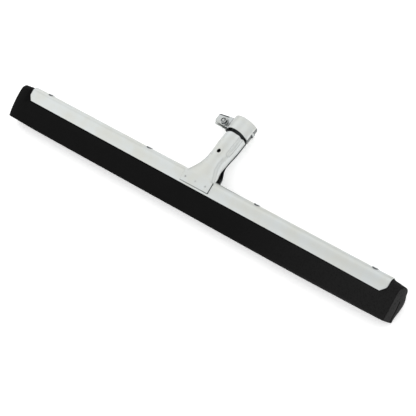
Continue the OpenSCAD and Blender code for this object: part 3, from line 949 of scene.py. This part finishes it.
def tongue_line(u):
    """x and front of the hook: out past the rear band's end, along it and in through its slot."""
    steps = np.linspace(0, 1, len(TONGUE_R))
    turn_at, r = np.interp(u, steps, TONGUE_TURN), np.interp(u, steps, TONGUE_R)
    return np.stack([r * np.sin(turn_at), r * np.cos(turn_at)])


def tongue_face(u, v, depth):
    """The hook's faces, square to its line."""
    dx, dn = tongue_line(u + 0.01) - tongue_line(u - 0.01)
    inward = np.stack([dn, -dx]) / (np.hypot(dx, dn) + 1e-9)
    x, n = tongue_line(u) + depth * TONGUE_T * inward
    return lay(from_clamp(x, n, BAND_MID - RING_DROP + v * TONGUE_HALF))


def tongue_shade(u, v, depth):
    """A film all over, with painted shade at the sides and inside."""
    return np.maximum(TONGUE_FILM + TONGUE_SIDE_SHADE * ease(np.abs(v), 0.6, 0.8), TONGUE_INSIDE_SHADE * depth)


tongue_u, tongue_v = with_lips(0.0, 1.0, 41, 0.01), with_lips(-1, 1, 9, 0.08)
tongue_sheet = press_sheet(tongue_face, tongue_u, tongue_v, BAND_T, tongue_shade)
first = len(strap_sheet[0])
strap_faces = strap_sheet[1] + [tuple(i + first for i in f) for f in tongue_sheet[1]]
strap_points, strap_film_and_shade = (np.concatenate([strap_sheet[k], tongue_sheet[k]]) for k in (0, 2))
strap = sheet_piece("clamp_strap_band", (strap_points, strap_faces, strap_film_and_shade), "strap")
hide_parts("clamp_strap")

# %% Rear band with its slot and ear
REAR_START, REAR_REACH, REAR_DROP, REAR_BEND_LOW = 92.0, 39.5, 2.4, 2.6
SLOT_FROM, SLOT_TO, SLOT_W, SLOT_ROOM = 99.5, 112.0, 6.0, 0.8
SLOT_POWER = 7
# Painted shade at the rear band's free end.
REAR_END_SHADE, REAR_END_LEN = 0.75, 9.0
REAR_ROWS, SLOT_ROWS = (-0.92, 0.44), (-0.43, 0.43)
rear_rule, rear_lengths = band_path(BAND_R, REAR_START, REAR_REACH, True)
rear_hole = ear_hole(rear_lengths, REAR_REACH, 0.0)
slot_mid = BAND_R * math.radians((SLOT_FROM + SLOT_TO) / 2 - REAR_START)
slot_half = BAND_R * math.radians((SLOT_TO - SLOT_FROM) / 2)


def slot_outline(u, v):
    """A rectangle with rounded corners."""
    turn_to = np.arctan2(v * BAND_W / SLOT_W, (u - slot_mid) / slot_half)
    c, s = np.cos(turn_to), np.sin(turn_to)
    r = (np.abs(c) ** SLOT_POWER + np.abs(s) ** SLOT_POWER) ** (-1 / SLOT_POWER)
    return slot_mid + slot_half * r * c, SLOT_W / BAND_W * r * s


slot_lines = np.linspace(slot_mid - slot_half - SLOT_ROOM, slot_mid + slot_half + SLOT_ROOM, 13)
band_u = band_lines(rear_lengths, rear_hole[0])
band_u = band_u[np.abs(band_u - slot_mid) > slot_half + SLOT_ROOM + 0.1]
band_u = np.unique(np.concatenate([band_u, slot_lines]))
band_v = with_lips(-1, 1, 29, 0.03)
band_block = block(band_u, band_v, rear_hole[0] - HOLE_ROOM, rear_hole[0] + HOLE_ROOM, *REAR_ROWS)
slot_block = block(band_u, band_v, slot_lines[0], slot_lines[-1], *SLOT_ROWS)
band_sheet = press_sheet(
    band_face(rear_rule, rear_lengths, 0.0, REAR_DROP, REAR_BEND_LOW), band_u, band_v, BAND_T,
    band_shade(rear_lengths, rear_hole, REAR_END_SHADE, REAR_END_LEN),
    [(band_block, hole_outline(*rear_hole)), (slot_block, slot_outline)])
rear_band = sheet_piece("rear_ring_band", band_sheet, "head")
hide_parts("rear_band")

# %% [markdown]
# ## The rubber blade
# The blade is one thick strip of moss rubber folded in half: the fold is pinched in the channel, the two
# leaves swell below it, and beyond the channel's ends the fold springs open towards the back. It is made as a
# row of outlines along the blade, each mixed between the pinched shape and the free one, with a thin slit
# between the leaves and rounded feet.

# %% Rubber outlines
SLIT_H, SLIT_BACK = 25.0, 3.4
RUBBER_R, LEAF_BACK, SWELL_H, TOE_R = 4.72, 10.0, 9.0, 1.2
FREE_TOP, FREE_R = -2.0, 9.0
FREE_MID = FREE_TOP - FREE_R
FREE_UP = [-45.4, -37.4, -30, -23, -16.5, FREE_MID]
FREE_REAR = [8.8, 12.4, 15.2, 16.4, 13.8, FREE_R]
FREE_FRONT = [10.0, 10.2, 10.4, 10.4, 9.9, FREE_R]
OPEN_UPPER, OPEN_LOWER = (258.5, 264), (226, 266)
HELD_FRONT, HELD_REAR = (-26, -20), (-20, -16)
RIGHT_RISE, LEFT_RISE, END_SAG = 2.0, 0.8, 1.2


def pinched_side(q):
    """Back distance and height from the fold, q 0, to just above the foot, q 1."""
    up = mix(-RIDGE_R + RUBBER_R, FOOT_UP + TOE_R, q ** 2)
    fold = np.sqrt(np.clip(RUBBER_R ** 2 - (up + RIDGE_R) ** 2, 0, None))
    back = np.where(up > -RIDGE_R + RUBBER_R * math.sin(FLANGE), fold, flank(RUBBER_R, up))
    swell = np.sin(np.clip((-CHANNEL_H - up) / SWELL_H, 0, 1) * math.pi / 2)
    return mix(np.where(up < -CHANNEL_H, flank(RUBBER_R, -CHANNEL_H), back), LEAF_BACK, swell), up


def free_side(q, rear_leaf):
    """The same where nothing holds the fold."""
    up = mix(FREE_TOP, FOOT_UP + TOE_R, q ** 2)
    fold = np.sqrt(np.clip(FREE_R ** 2 - (up - FREE_MID) ** 2, 0, None))
    line = FREE_REAR if rear_leaf else FREE_FRONT
    return np.where(up > FREE_MID, fold, np.interp(up, FREE_UP, line)), up


def rubber_outline(x):
    """One closed outline, front face first, as back and up."""
    far = abs(x)
    upper, lower = ease(far, *OPEN_UPPER), ease(far, *OPEN_LOWER)
    rise = RIGHT_RISE * np.clip((x - 120) / 155, 0, 1) ** 2 if x > 0 else LEFT_RISE * ease(far, 222, 276)
    sag = END_SAG * ease(far, 262, 275)
    q = np.linspace(0, 1, 44)
    sides = []
    for rear_leaf, held_at in ((False, HELD_FRONT), (True, HELD_REAR)):
        b0, z0 = pinched_side(q)
        b1, z1 = free_side(q, rear_leaf)
        w = mix(lower, upper, ease(0.5 * (z0 + z1), *held_at))
        z = mix(z0, z1, w) + rise * ease(1.4 * q, 0.4, 1.4) - sag * ease(1.6 * q, 1, 0)
        sides.append((mix(b0, b1, w), z))
    (front_b, front_z), (back_b, back_z) = sides
    foot = FOOT_UP + rise
    slit = SLIT_BACK * lower
    turn_to = np.radians([15, 40, 65, 90])
    toe_in, toe_z = TOE_R - TOE_R * np.cos(turn_to), foot + TOE_R - TOE_R * np.sin(turn_to)
    toe_f, toe_r = toe_in - front_b[-1], (back_b[-1] - toe_in)[::-1]
    climb = np.linspace(0, 1, 12)
    gap = 0.5 * (1 - 0.85 * climb ** 2) + 0.5 * (1 - climb) ** 6
    mid = slit * (1 - 0.6 * climb)
    slit_z = foot + SLIT_H * climb
    b = [-front_b, toe_f, [mix(toe_f[-1], slit, 0.5)], mid - gap, (mid + gap)[::-1],
         [mix(toe_r[0], slit, 0.5)], toe_r, back_b[:0:-1]]
    z = [front_z, toe_z, [foot], slit_z, slit_z[::-1], [foot], toe_z[::-1], back_z[:0:-1]]
    return np.stack([np.concatenate(b), np.concatenate(z)], -1)


print("outline points", len(rubber_outline(0.0)))

# %% Worn and cut ends
CUT_SLANT, CUT_FROM, CUT_AT = 1.4, 263, 275
ROUND_END = [(274.4, 0.12), (274.8, 0.4), (275.0, 0.8)]
RIGHT_DOME, LEFT_DOME, DOME_HALF = (2.0, 7.0), (1.1, 4.0), 15
RIGHT_WORN, RIGHT_FLAT, LEFT_WORN, LEFT_TOP_WORN = 0.6, 1.1, 1.1, 0.4


def shrunk(outline, amount):
    """Moves an outline inward, for the rounded edge of a cut end."""
    along = np.roll(outline, -1, 0) - np.roll(outline, 1, 0)
    normal = np.stack([-along[:, 1], along[:, 0]], -1)
    normal /= np.linalg.norm(normal, axis=-1, keepdims=True) + 1e-9
    return outline + amount * normal


def blade_ring(x, inset):
    """One outline in its place along the blade. Near an end it is slanted, domed and worn."""
    outline = shrunk(rubber_outline(x), inset)
    back, up = outline.T
    far = abs(x)
    slant = CUT_SLANT * ease(x, CUT_FROM, CUT_AT) * np.clip((7 - back) / 17, 0, 1)
    if x > 0:
        dome_high, dome_back = RIGHT_DOME
        worn = RIGHT_WORN * ease(up, -30, -43) + RIGHT_FLAT * ease(back, 2, 8) * hump(up, -36, 9)
    else:
        dome_high, dome_back = LEFT_DOME
        worn = LEFT_WORN * ease(up, -34, -47) + LEFT_TOP_WORN * ease(up, -14, -4)
    dome = dome_high * ease(far, CUT_FROM, CUT_AT) * np.clip(1 - ((back - dome_back) / DOME_HALF) ** 2, 0, 1)
    out = dome - worn * ease(far, CUT_FROM - 8, CUT_AT)
    return np.column_stack([x - slant + math.copysign(1, x) * out, outline])


half_rows = np.concatenate([np.linspace(0, 216, 13), np.linspace(222, 256, 18), np.linspace(257.5, 266, 18),
                            np.linspace(267, 273.8, 7)])
stations = [(x, 0.0) for x in half_rows] + ROUND_END
stations = [(-x, inset) for x, inset in stations[:0:-1]] + stations
rings = [blade_ring(x, inset) for x, inset in stations]
print("rubber outlines", len(rings))

# %% Rubber blade
# Painted light to the right, wear at the toe, and a lighter left end.
LIT_RIGHT, EDGE_TOE, EDGE_LEFT = 0.36, 2.0, 0.12
BLADE_SHARP = 70.0


def row_faces(rows, steps, joined):
    """Faces between closed rows of points. If joined, the last row also meets the first."""
    faces = []
    for r in range(rows if joined else rows - 1):
        near, far = r * steps, (r + 1) % rows * steps
        for k in range(steps):
            k_next = (k + 1) % steps
            faces.append((near + k, near + k_next, far + k_next, far + k))
    return faces


blade_points = np.concatenate(rings)
ring_size = len(rings[0])
blade_faces = row_faces(len(rings), ring_size, False)
kinds = [0] * len(blade_faces) + [1, 1]
blade_faces += [tuple(range(ring_size)), tuple(range(len(blade_points) - ring_size, len(blade_points)))]
along, up = blade_points[:, 0], blade_points[:, 2]
toe = ease(up, FOOT_UP + 3.5, FOOT_UP + 0.5)
# Painted light: lighter towards the right end and more so at the worn toe; a little lighter at the left end.
lit_right_worn_toe = LIT_RIGHT * ease(along, 40, 270) * (1 + EDGE_TOE * toe)
blade_light_and_wear = np.clip(lit_right_worn_toe + EDGE_LEFT * ease(along, -262, -274), 0, 1)
blade = piece("rubber_blade", lay(blade_points), blade_faces, [rubber_skin, rubber_cut],
              "head", BLADE_SHARP, kinds, {"edge": blade_light_and_wear})
cut = bmesh.new()
cut.from_mesh(blade.data)
bmesh.ops.triangulate(cut, faces=[f for f in cut.faces if len(f.verts) > 4])
cut.to_mesh(blade.data)
cut.free()
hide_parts("blade")

# %% [markdown]
# ## The ridge rivets
# Four domed rivets stand on the ridge at equal steps. Something that repeats along a line is work for
# Geometry Nodes: one dome, pressed from a sphere, placed on the points of a line. The tree's inputs are the
# sizes a maker would ask for. Each dome carries painted shade: a painted shadow at its foot and shade on its
# left side.

# %% Geometry tree helpers


def new_tree(name, sizes, takes_mesh=False):
    """A geometry tree with named inputs from {name: (kind, value)}, and the sockets its inside reads."""
    tree = bpy.data.node_groups.new(name, "GeometryNodeTree")
    for in_out in ("INPUT", "OUTPUT") if takes_mesh else ("OUTPUT",):
        tree.interface.new_socket(name="Geometry", in_out=in_out, socket_type="NodeSocketGeometry")
    for label, (kind, value) in sizes.items():
        socket = tree.interface.new_socket(name=label, in_out="INPUT", socket_type="NodeSocket" + kind)
        socket.default_value = value
    return tree, tree.nodes.new("NodeGroupInput").outputs


def end_tree(tree, geometry, finish):
    """Makes instances real, sets the finish and hands the result out."""
    real = add_node(tree, "GeometryNodeRealizeInstances", {"Geometry": geometry}).outputs["Geometry"]
    dressed = add_node(tree, "GeometryNodeSetMaterial", {"Geometry": real, "Material": finish})
    add_node(tree, "NodeGroupOutput", {"Geometry": dressed.outputs["Geometry"]})
    print(tree.name, len(tree.nodes), "nodes")


def run_tree(obj, tree, sizes):
    """Sets the tree's inputs by their identifiers, and keeps the result as the object's own plain mesh."""
    maker = obj.modifiers.new(tree.name, "NODES")
    maker.node_group = tree
    ids = {item.name: item.identifier for item in tree.interface.items_tree if item.in_out == "INPUT"}
    for label, (_, value) in sizes.items():
        maker[ids[label]] = value
    bpy.context.view_layer.update()
    deps = bpy.context.evaluated_depsgraph_get()
    mesh = bpy.data.meshes.new_from_object(obj.evaluated_get(deps))
    obj.modifiers.clear()
    obj.data = mesh
    mesh.name = obj.name
    print(obj.name, len(mesh.polygons), "faces")


def vector_join(tree, *values):
    return add_node(tree, "ShaderNodeCombineXYZ", enumerate(values)).outputs[0]


print("tree helpers ready")

# %% Rivet tree
PITCH, HEAD_R, HEAD_H, SKIRT = 157.4, 4.0, 2.0, 1.2
# Painted shade on the domes' left side, and a painted shadow at their foot.
LEFT_SHADE, FOOT_SHADOW = 0.95, 0.9
rivet_sizes = {
    "First Rivet": ("Vector", lay((-1.5 * PITCH, 0, 0)).tolist()),
    "Count": ("Int", 4),
    "Pitch": ("Float", PITCH * MM),
    "Head Radius": ("Float", HEAD_R * MM),
    "Head Height": ("Float", HEAD_H * MM),
    "Dome Radius": ("Float", (HEAD_R ** 2 + HEAD_H ** 2) / (2 * HEAD_H) * MM),
    "Skirt": ("Float", SKIRT * MM),
    "Tilt": ("Vector", (LIE, 0.0, 0.0)),
    "Finish": ("Material", zinc_dome),
}
rivets, given = new_tree("ridge_rivet_row", rivet_sizes)
place = add_node(rivets, "GeometryNodeInputPosition").outputs[0]
px, py, pz = add_node(rivets, "ShaderNodeSeparateXYZ", {0: place}).outputs
seat = math_node(rivets, "SUBTRACT", given["Head Height"], given["Dome Radius"])
low = math_node(rivets, "MULTIPLY", given["Skirt"], -1.0)
height = math_node(rivets, "MAXIMUM", math_node(rivets, "ADD", pz, seat), low)
px2, py2 = (math_node(rivets, "MULTIPLY", p, p) for p in (px, py))
square = math_node(rivets, "ADD", px2, py2)
off_axis = math_node(rivets, "MAXIMUM", math_node(rivets, "SQRT", square), 1e-6)
share = math_node(rivets, "MINIMUM", math_node(rivets, "DIVIDE", given["Head Radius"], off_axis), 1.0)
aside = math_node(rivets, "DIVIDE", px, given["Head Radius"])
above = math_node(rivets, "DIVIDE", height, given["Head Height"])
# Painted shade on the dome's left side, and a painted shadow at its foot.
left = ramp_node(rivets, aside, -0.85, -0.45, LEFT_SHADE, 0.0)
foot = ramp_node(rivets, above, 0.08, 0.3, FOOT_SHADOW, 0.0)
print("rivet inputs", len(rivet_sizes))

# %% Rivet dome and row
ball = add_node(rivets, "GeometryNodeMeshUVSphere",
                {"Segments": 40, "Rings": 28, "Radius": given["Dome Radius"]})
toned = add_node(rivets, "GeometryNodeStoreNamedAttribute",
                 {"Geometry": ball.outputs["Mesh"], "Name": "recess",
                  "Value": math_node(rivets, "MAXIMUM", left, foot)}, data_type="FLOAT", domain="POINT")
pressed = vector_join(rivets, math_node(rivets, "MULTIPLY", px, share),
                      math_node(rivets, "MULTIPLY", py, share), height)
dome = add_node(rivets, "GeometryNodeSetPosition",
                {"Geometry": toned.outputs["Geometry"], "Position": pressed})
line = add_node(rivets, "GeometryNodeMeshLine",
                {"Count": given["Count"], "Start Location": given["First Rivet"],
                 "Offset": vector_join(rivets, given["Pitch"], 0.0, 0.0)})
tilt = add_node(rivets, "FunctionNodeEulerToRotation", {0: given["Tilt"]})
row = add_node(rivets, "GeometryNodeInstanceOnPoints",
               {"Points": line.outputs["Mesh"], "Instance": dome.outputs["Geometry"],
                "Rotation": tilt.outputs[0]})
end_tree(rivets, row.outputs["Instances"], given["Finish"])

# %% Rivets
rivet_row = bpy.data.objects.new("ridge_rivets", bpy.data.meshes.new("ridge_rivets"))
bpy.context.scene.collection.objects.link(rivet_row)
run_tree(rivet_row, rivets, rivet_sizes)
rivet_row.data.polygons.foreach_set("use_smooth", [True] * len(rivet_row.data.polygons))
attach(rivet_row, "head")
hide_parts("ridge_rivet_1", "ridge_rivet_2", "ridge_rivet_3", "ridge_rivet_4")

# %% [markdown]
# ## Bolt, washer and nut
# The clamp is closed by a small hexagon bolt from the rear, with a washer and a nut at the front. Hexagons
# are turned on their faces, which leaves the curved chamfers on a real nut. They come from one row of points
# round the axis per edge, with the chamfer's height worked out at each angle.

# %% Turned and hexagon pieces
HEX_W, NUT_H, BOLT_R, WASHER_T = 8.0, 3.2, 2.5, 1.0
HEX_SHARP, WASHER_SHARP = 20.0, 50.0
FACE_R = HEX_W / 2 - 0.12
CHAMFER = math.radians(30)
ROUND = np.radians(np.arange(0, 360, 3.75))


def from_bolt(points):
    """World metres from millimetres in the bolt's frame, whose third axis runs to the front."""
    p = np.asarray(points, float)
    return lay(from_clamp(p[..., 0] - BOLT_X, p[..., 2], p[..., 1] + BAND_MID - BOLT_DROP))


def ring_row(radius, height):
    """A row of points round the axis, at one radius and height or at one for each angle."""
    radius, height = (np.broadcast_to(v, ROUND.shape) for v in (radius, height))
    return np.stack([radius * np.cos(ROUND), radius * np.sin(ROUND), height], -1)


def ring_rows(*rows):
    return [ring_row(radius, height) for radius, height in rows]


def hexagon_rows(low, high, chamfer_low, chamfer_high):
    """Outer rows of a hexagon from its lower face to its upper one, chamfered by turning."""
    part = np.mod(ROUND + math.pi / 6, math.pi / 3) - math.pi / 6
    reach = HEX_W / 2 / np.cos(part)
    face = np.minimum(reach, FACE_R)
    drop = np.clip(reach - FACE_R, 0, None) * math.tan(CHAMFER)
    return ring_rows((face, low), (reach, low + drop * chamfer_low), (reach, high - drop * chamfer_high),
                     (face, high))


def turned_mesh(rows):
    """Points in the bolt's frame and faces of a closed turned piece."""
    return np.concatenate(rows), row_faces(len(rows), len(ROUND), True)


print("points round a turned piece", len(ROUND))

# %% Nut and washer
BORE, BORE_MOUTH, BORE_SEAT, BORE_BEVEL = 2.55, 2.75, 3.0, 0.45
nut_low = EAR_TOP + WASHER_T
nut_top = nut_low + NUT_H
nut_rows = hexagon_rows(nut_low, nut_top, 1, 1)
nut_rows += ring_rows((BORE_MOUTH, nut_top), (BORE, nut_top - BORE_BEVEL), (BORE, nut_low + BORE_BEVEL),
                      (BORE_SEAT, nut_low))
# Painted shade on the nut's sides and in its bore; its top face stays light.
nut_shade = np.repeat([0.9, 0.9, 0.9, 0.1, 0.8, 0.95, 1.0, 1.0], len(ROUND))
nut_points, nut_faces = turned_mesh(nut_rows)
nut = piece("hex_nut", from_bolt(nut_points), nut_faces, [zinc_bright], "nut", HEX_SHARP,
            tones={"recess": nut_shade})
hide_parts("clamp_nut")
WASHER_PROFILE = ((4.35, 0.0), (4.55, 0.12), (4.6, 0.35), (4.6, 0.7), (4.52, 0.9), (4.3, WASHER_T),
                  (3.0, WASHER_T), (2.8, 0.85), (2.8, 0.15), (2.95, 0.0))
washer_points, washer_faces = turned_mesh(ring_rows(*((r, EAR_TOP + h) for r, h in WASHER_PROFILE)))
washer = piece("flat_washer", from_bolt(washer_points), washer_faces, [zinc_bright], "washer",
               WASHER_SHARP)
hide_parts("clamp_washer")

# %% Bolt head and shank
TIP = nut_top - 0.3
CORE_R, TIP_FACE_R, POLE_R = 2.05, 1.6, 0.02
HEAD_LOW, THREAD_LOW, DISH = -EAR_TOP - 3.5, -1.2, 0.25
bolt_rows = ring_rows((POLE_R, HEAD_LOW + DISH), (2.6, HEAD_LOW + DISH), (2.9, HEAD_LOW))
bolt_rows += hexagon_rows(HEAD_LOW, -EAR_TOP, 1, 0)
bolt_rows += ring_rows((BOLT_R, -EAR_TOP), (BOLT_R, THREAD_LOW - 0.4), (CORE_R, THREAD_LOW),
                       (CORE_R, TIP - 0.5), (TIP_FACE_R, TIP), (POLE_R, TIP))
# Painted shade on the shank and at the tip's edge.
bolt_shade = np.repeat([0.0] * 7 + [0.3] * 4 + [0.6, 0.0], len(ROUND))
bolt_points, bolt_faces = turned_mesh(bolt_rows)
bolt = closed_mesh("clamp_bolt_hex", bolt_points * MM, bolt_faces, [zinc_bright], HEX_SHARP,
                   tones={"recess": bolt_shade})

# %% [markdown]
# ### The thread
# A thread is a profile swept along a helix, so Geometry Nodes makes it too: a spiral curve, a three-cornered
# profile, and the bolt's own mesh joined to it.

# %% Thread tree
THREAD_PITCH, HELIX_R, RIB_R = 0.8, 2.12, 0.38
THREAD_LEN = TIP - 0.3 - THREAD_LOW
thread_sizes = {
    "Turns": ("Float", THREAD_LEN / THREAD_PITCH),
    "Helix Radius": ("Float", HELIX_R * MM),
    "Length": ("Float", THREAD_LEN * MM),
    "Rib": ("Float", RIB_R * MM),
    "Start": ("Vector", (0.0, 0.0, THREAD_LOW * MM)),
    "Finish": ("Material", zinc_bright),
}
thread, given = new_tree("bolt_thread", thread_sizes, takes_mesh=True)
helix = add_node(thread, "GeometryNodeCurveSpiral",
                 {"Resolution": 36, "Rotations": given["Turns"], "Start Radius": given["Helix Radius"],
                  "End Radius": given["Helix Radius"], "Height": given["Length"]})
rib = add_node(thread, "GeometryNodeCurvePrimitiveCircle", {"Resolution": 3, "Radius": given["Rib"]})
sweep = add_node(thread, "GeometryNodeCurveToMesh",
                 {"Curve": helix.outputs["Curve"], "Profile Curve": rib.outputs["Curve"], "Fill Caps": True})
move = add_node(thread, "GeometryNodeTransform",
                {"Geometry": sweep.outputs["Mesh"], "Translation": given["Start"]})
both = add_node(thread, "GeometryNodeJoinGeometry", {"Geometry": move.outputs["Geometry"]})
wire(thread, both.inputs["Geometry"], given["Geometry"])
end_tree(thread, both.outputs["Geometry"], given["Finish"])

# %% Threaded bolt
run_tree(bolt, thread, thread_sizes)
coords = np.empty(len(bolt.data.vertices) * 3)
bolt.data.vertices.foreach_get("co", coords)
bolt.data.vertices.foreach_set("co", from_bolt(coords.reshape(-1, 3) / MM).ravel())
bolt.data.update()
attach(bolt, "head")
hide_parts("clamp_bolt")

# %% [markdown]
# ## The strip inside the fold
# A plain flat strip lies inside the rubber's fold and takes the rivets' tails. It is never seen, so the solid
# stays and only gets its finish.

# %% Keeper strip
for obj in bpy.data.objects:
    if obj.type == "MESH" and obj.name.startswith("keeper_strip"):
        for holder in obj.material_slots:
            holder.material = zinc_sheet
        if not obj.material_slots:
            obj.data.materials.append(zinc_sheet)
        print("finish on", obj.name)

# %% [markdown]
# ## Floor and light
# A white floor under a broad soft sky, with one weak soft light from the front right and one from the left,
# as in a small product studio. The sky is dark and a little warm at the horizon, so that plated steel has
# something to show at its sides.

# %% Floor
FLOOR_HALF, FLOOR_GLOW = 3, 0.28
floor_material, floor_tree, floor_shader = start_material("studio_white")
tint = noise_node(floor_tree, object_place(floor_tree), 6.0, 2.0, 0.55)
wire(floor_tree, floor_shader["Base Color"], color_mix(floor_tree, tint, grey(0.93), grey(0.96)))
floor_shader["Roughness"].default_value = 0.8
floor_shader["Emission Color"].default_value = (1, 1, 1, 1)
floor_shader["Emission Strength"].default_value = FLOOR_GLOW
floor_mesh = bpy.data.meshes.new("studio_floor")
floor_corners = [(x * FLOOR_HALF, y * FLOOR_HALF, 0) for x, y in ((-1, -1), (1, -1), (1, 1), (-1, 1))]
floor_mesh.from_pydata(floor_corners, [], [(0, 1, 2, 3)])
floor_mesh.materials.append(floor_material)
floor = bpy.data.objects.new("studio_floor", floor_mesh)
bpy.context.scene.collection.objects.link(floor)
print("floor", floor.dimensions[:])

# %% Sky
SKY_POWER = 1.16
HORIZON, ZENITH = (0.08, 0.075, 0.07, 1), (0.84, 0.84, 0.84, 1)
SKY_TONES = ((0.2, 0.95), (0.4, 1.06), (0.6, 0.97), (0.75, 1.15))
world = bpy.data.worlds.new("studio")
world.use_nodes = True
sky = world.node_tree
direction = add_node(sky, "ShaderNodeTexCoord").outputs["Generated"]
sky_height = add_node(sky, "ShaderNodeSeparateXYZ", {0: direction}).outputs[2]
ramp = add_node(sky, "ShaderNodeValToRGB", {0: sky_height})
tones = ramp.color_ramp.elements
tones[0].position, tones[1].position = 0.0, 0.96
tones[0].color, tones[1].color = HORIZON, ZENITH
for at, tone in SKY_TONES:
    tones.new(at).color = (*grey(tone), 1)
wire(sky, sky.nodes["Background"].inputs["Color"], ramp.outputs[0])
sky.nodes["Background"].inputs["Strength"].default_value = SKY_POWER
bpy.context.scene.world = world
print("sky tones", len(tones))

# %% Lights


def soft_light(name, place, size, power):
    """A rectangle of light that looks at the origin."""
    light = bpy.data.lights.new(name, "AREA")
    light.shape = "RECTANGLE"
    light.size, light.size_y = size
    light.energy = power
    obj = bpy.data.objects.new(name, light)
    back = np.asarray(place, float)
    back /= np.linalg.norm(back)
    side = np.cross((0, 1, 0.2), back)
    side /= np.linalg.norm(side)
    obj.matrix_world = stand_at(place, side, np.cross(back, side), back)
    bpy.context.scene.collection.objects.link(obj)
    print("light", name, power, "W")


soft_light("key_soft", (0.7, -1.6, 1.3), (1.6, 1.2), 1.5)
soft_light("side_soft", (-1.5, 0.55, 0.75), (1.4, 0.9), 0.6)
bpy.context.scene.view_settings.view_transform = "Standard"
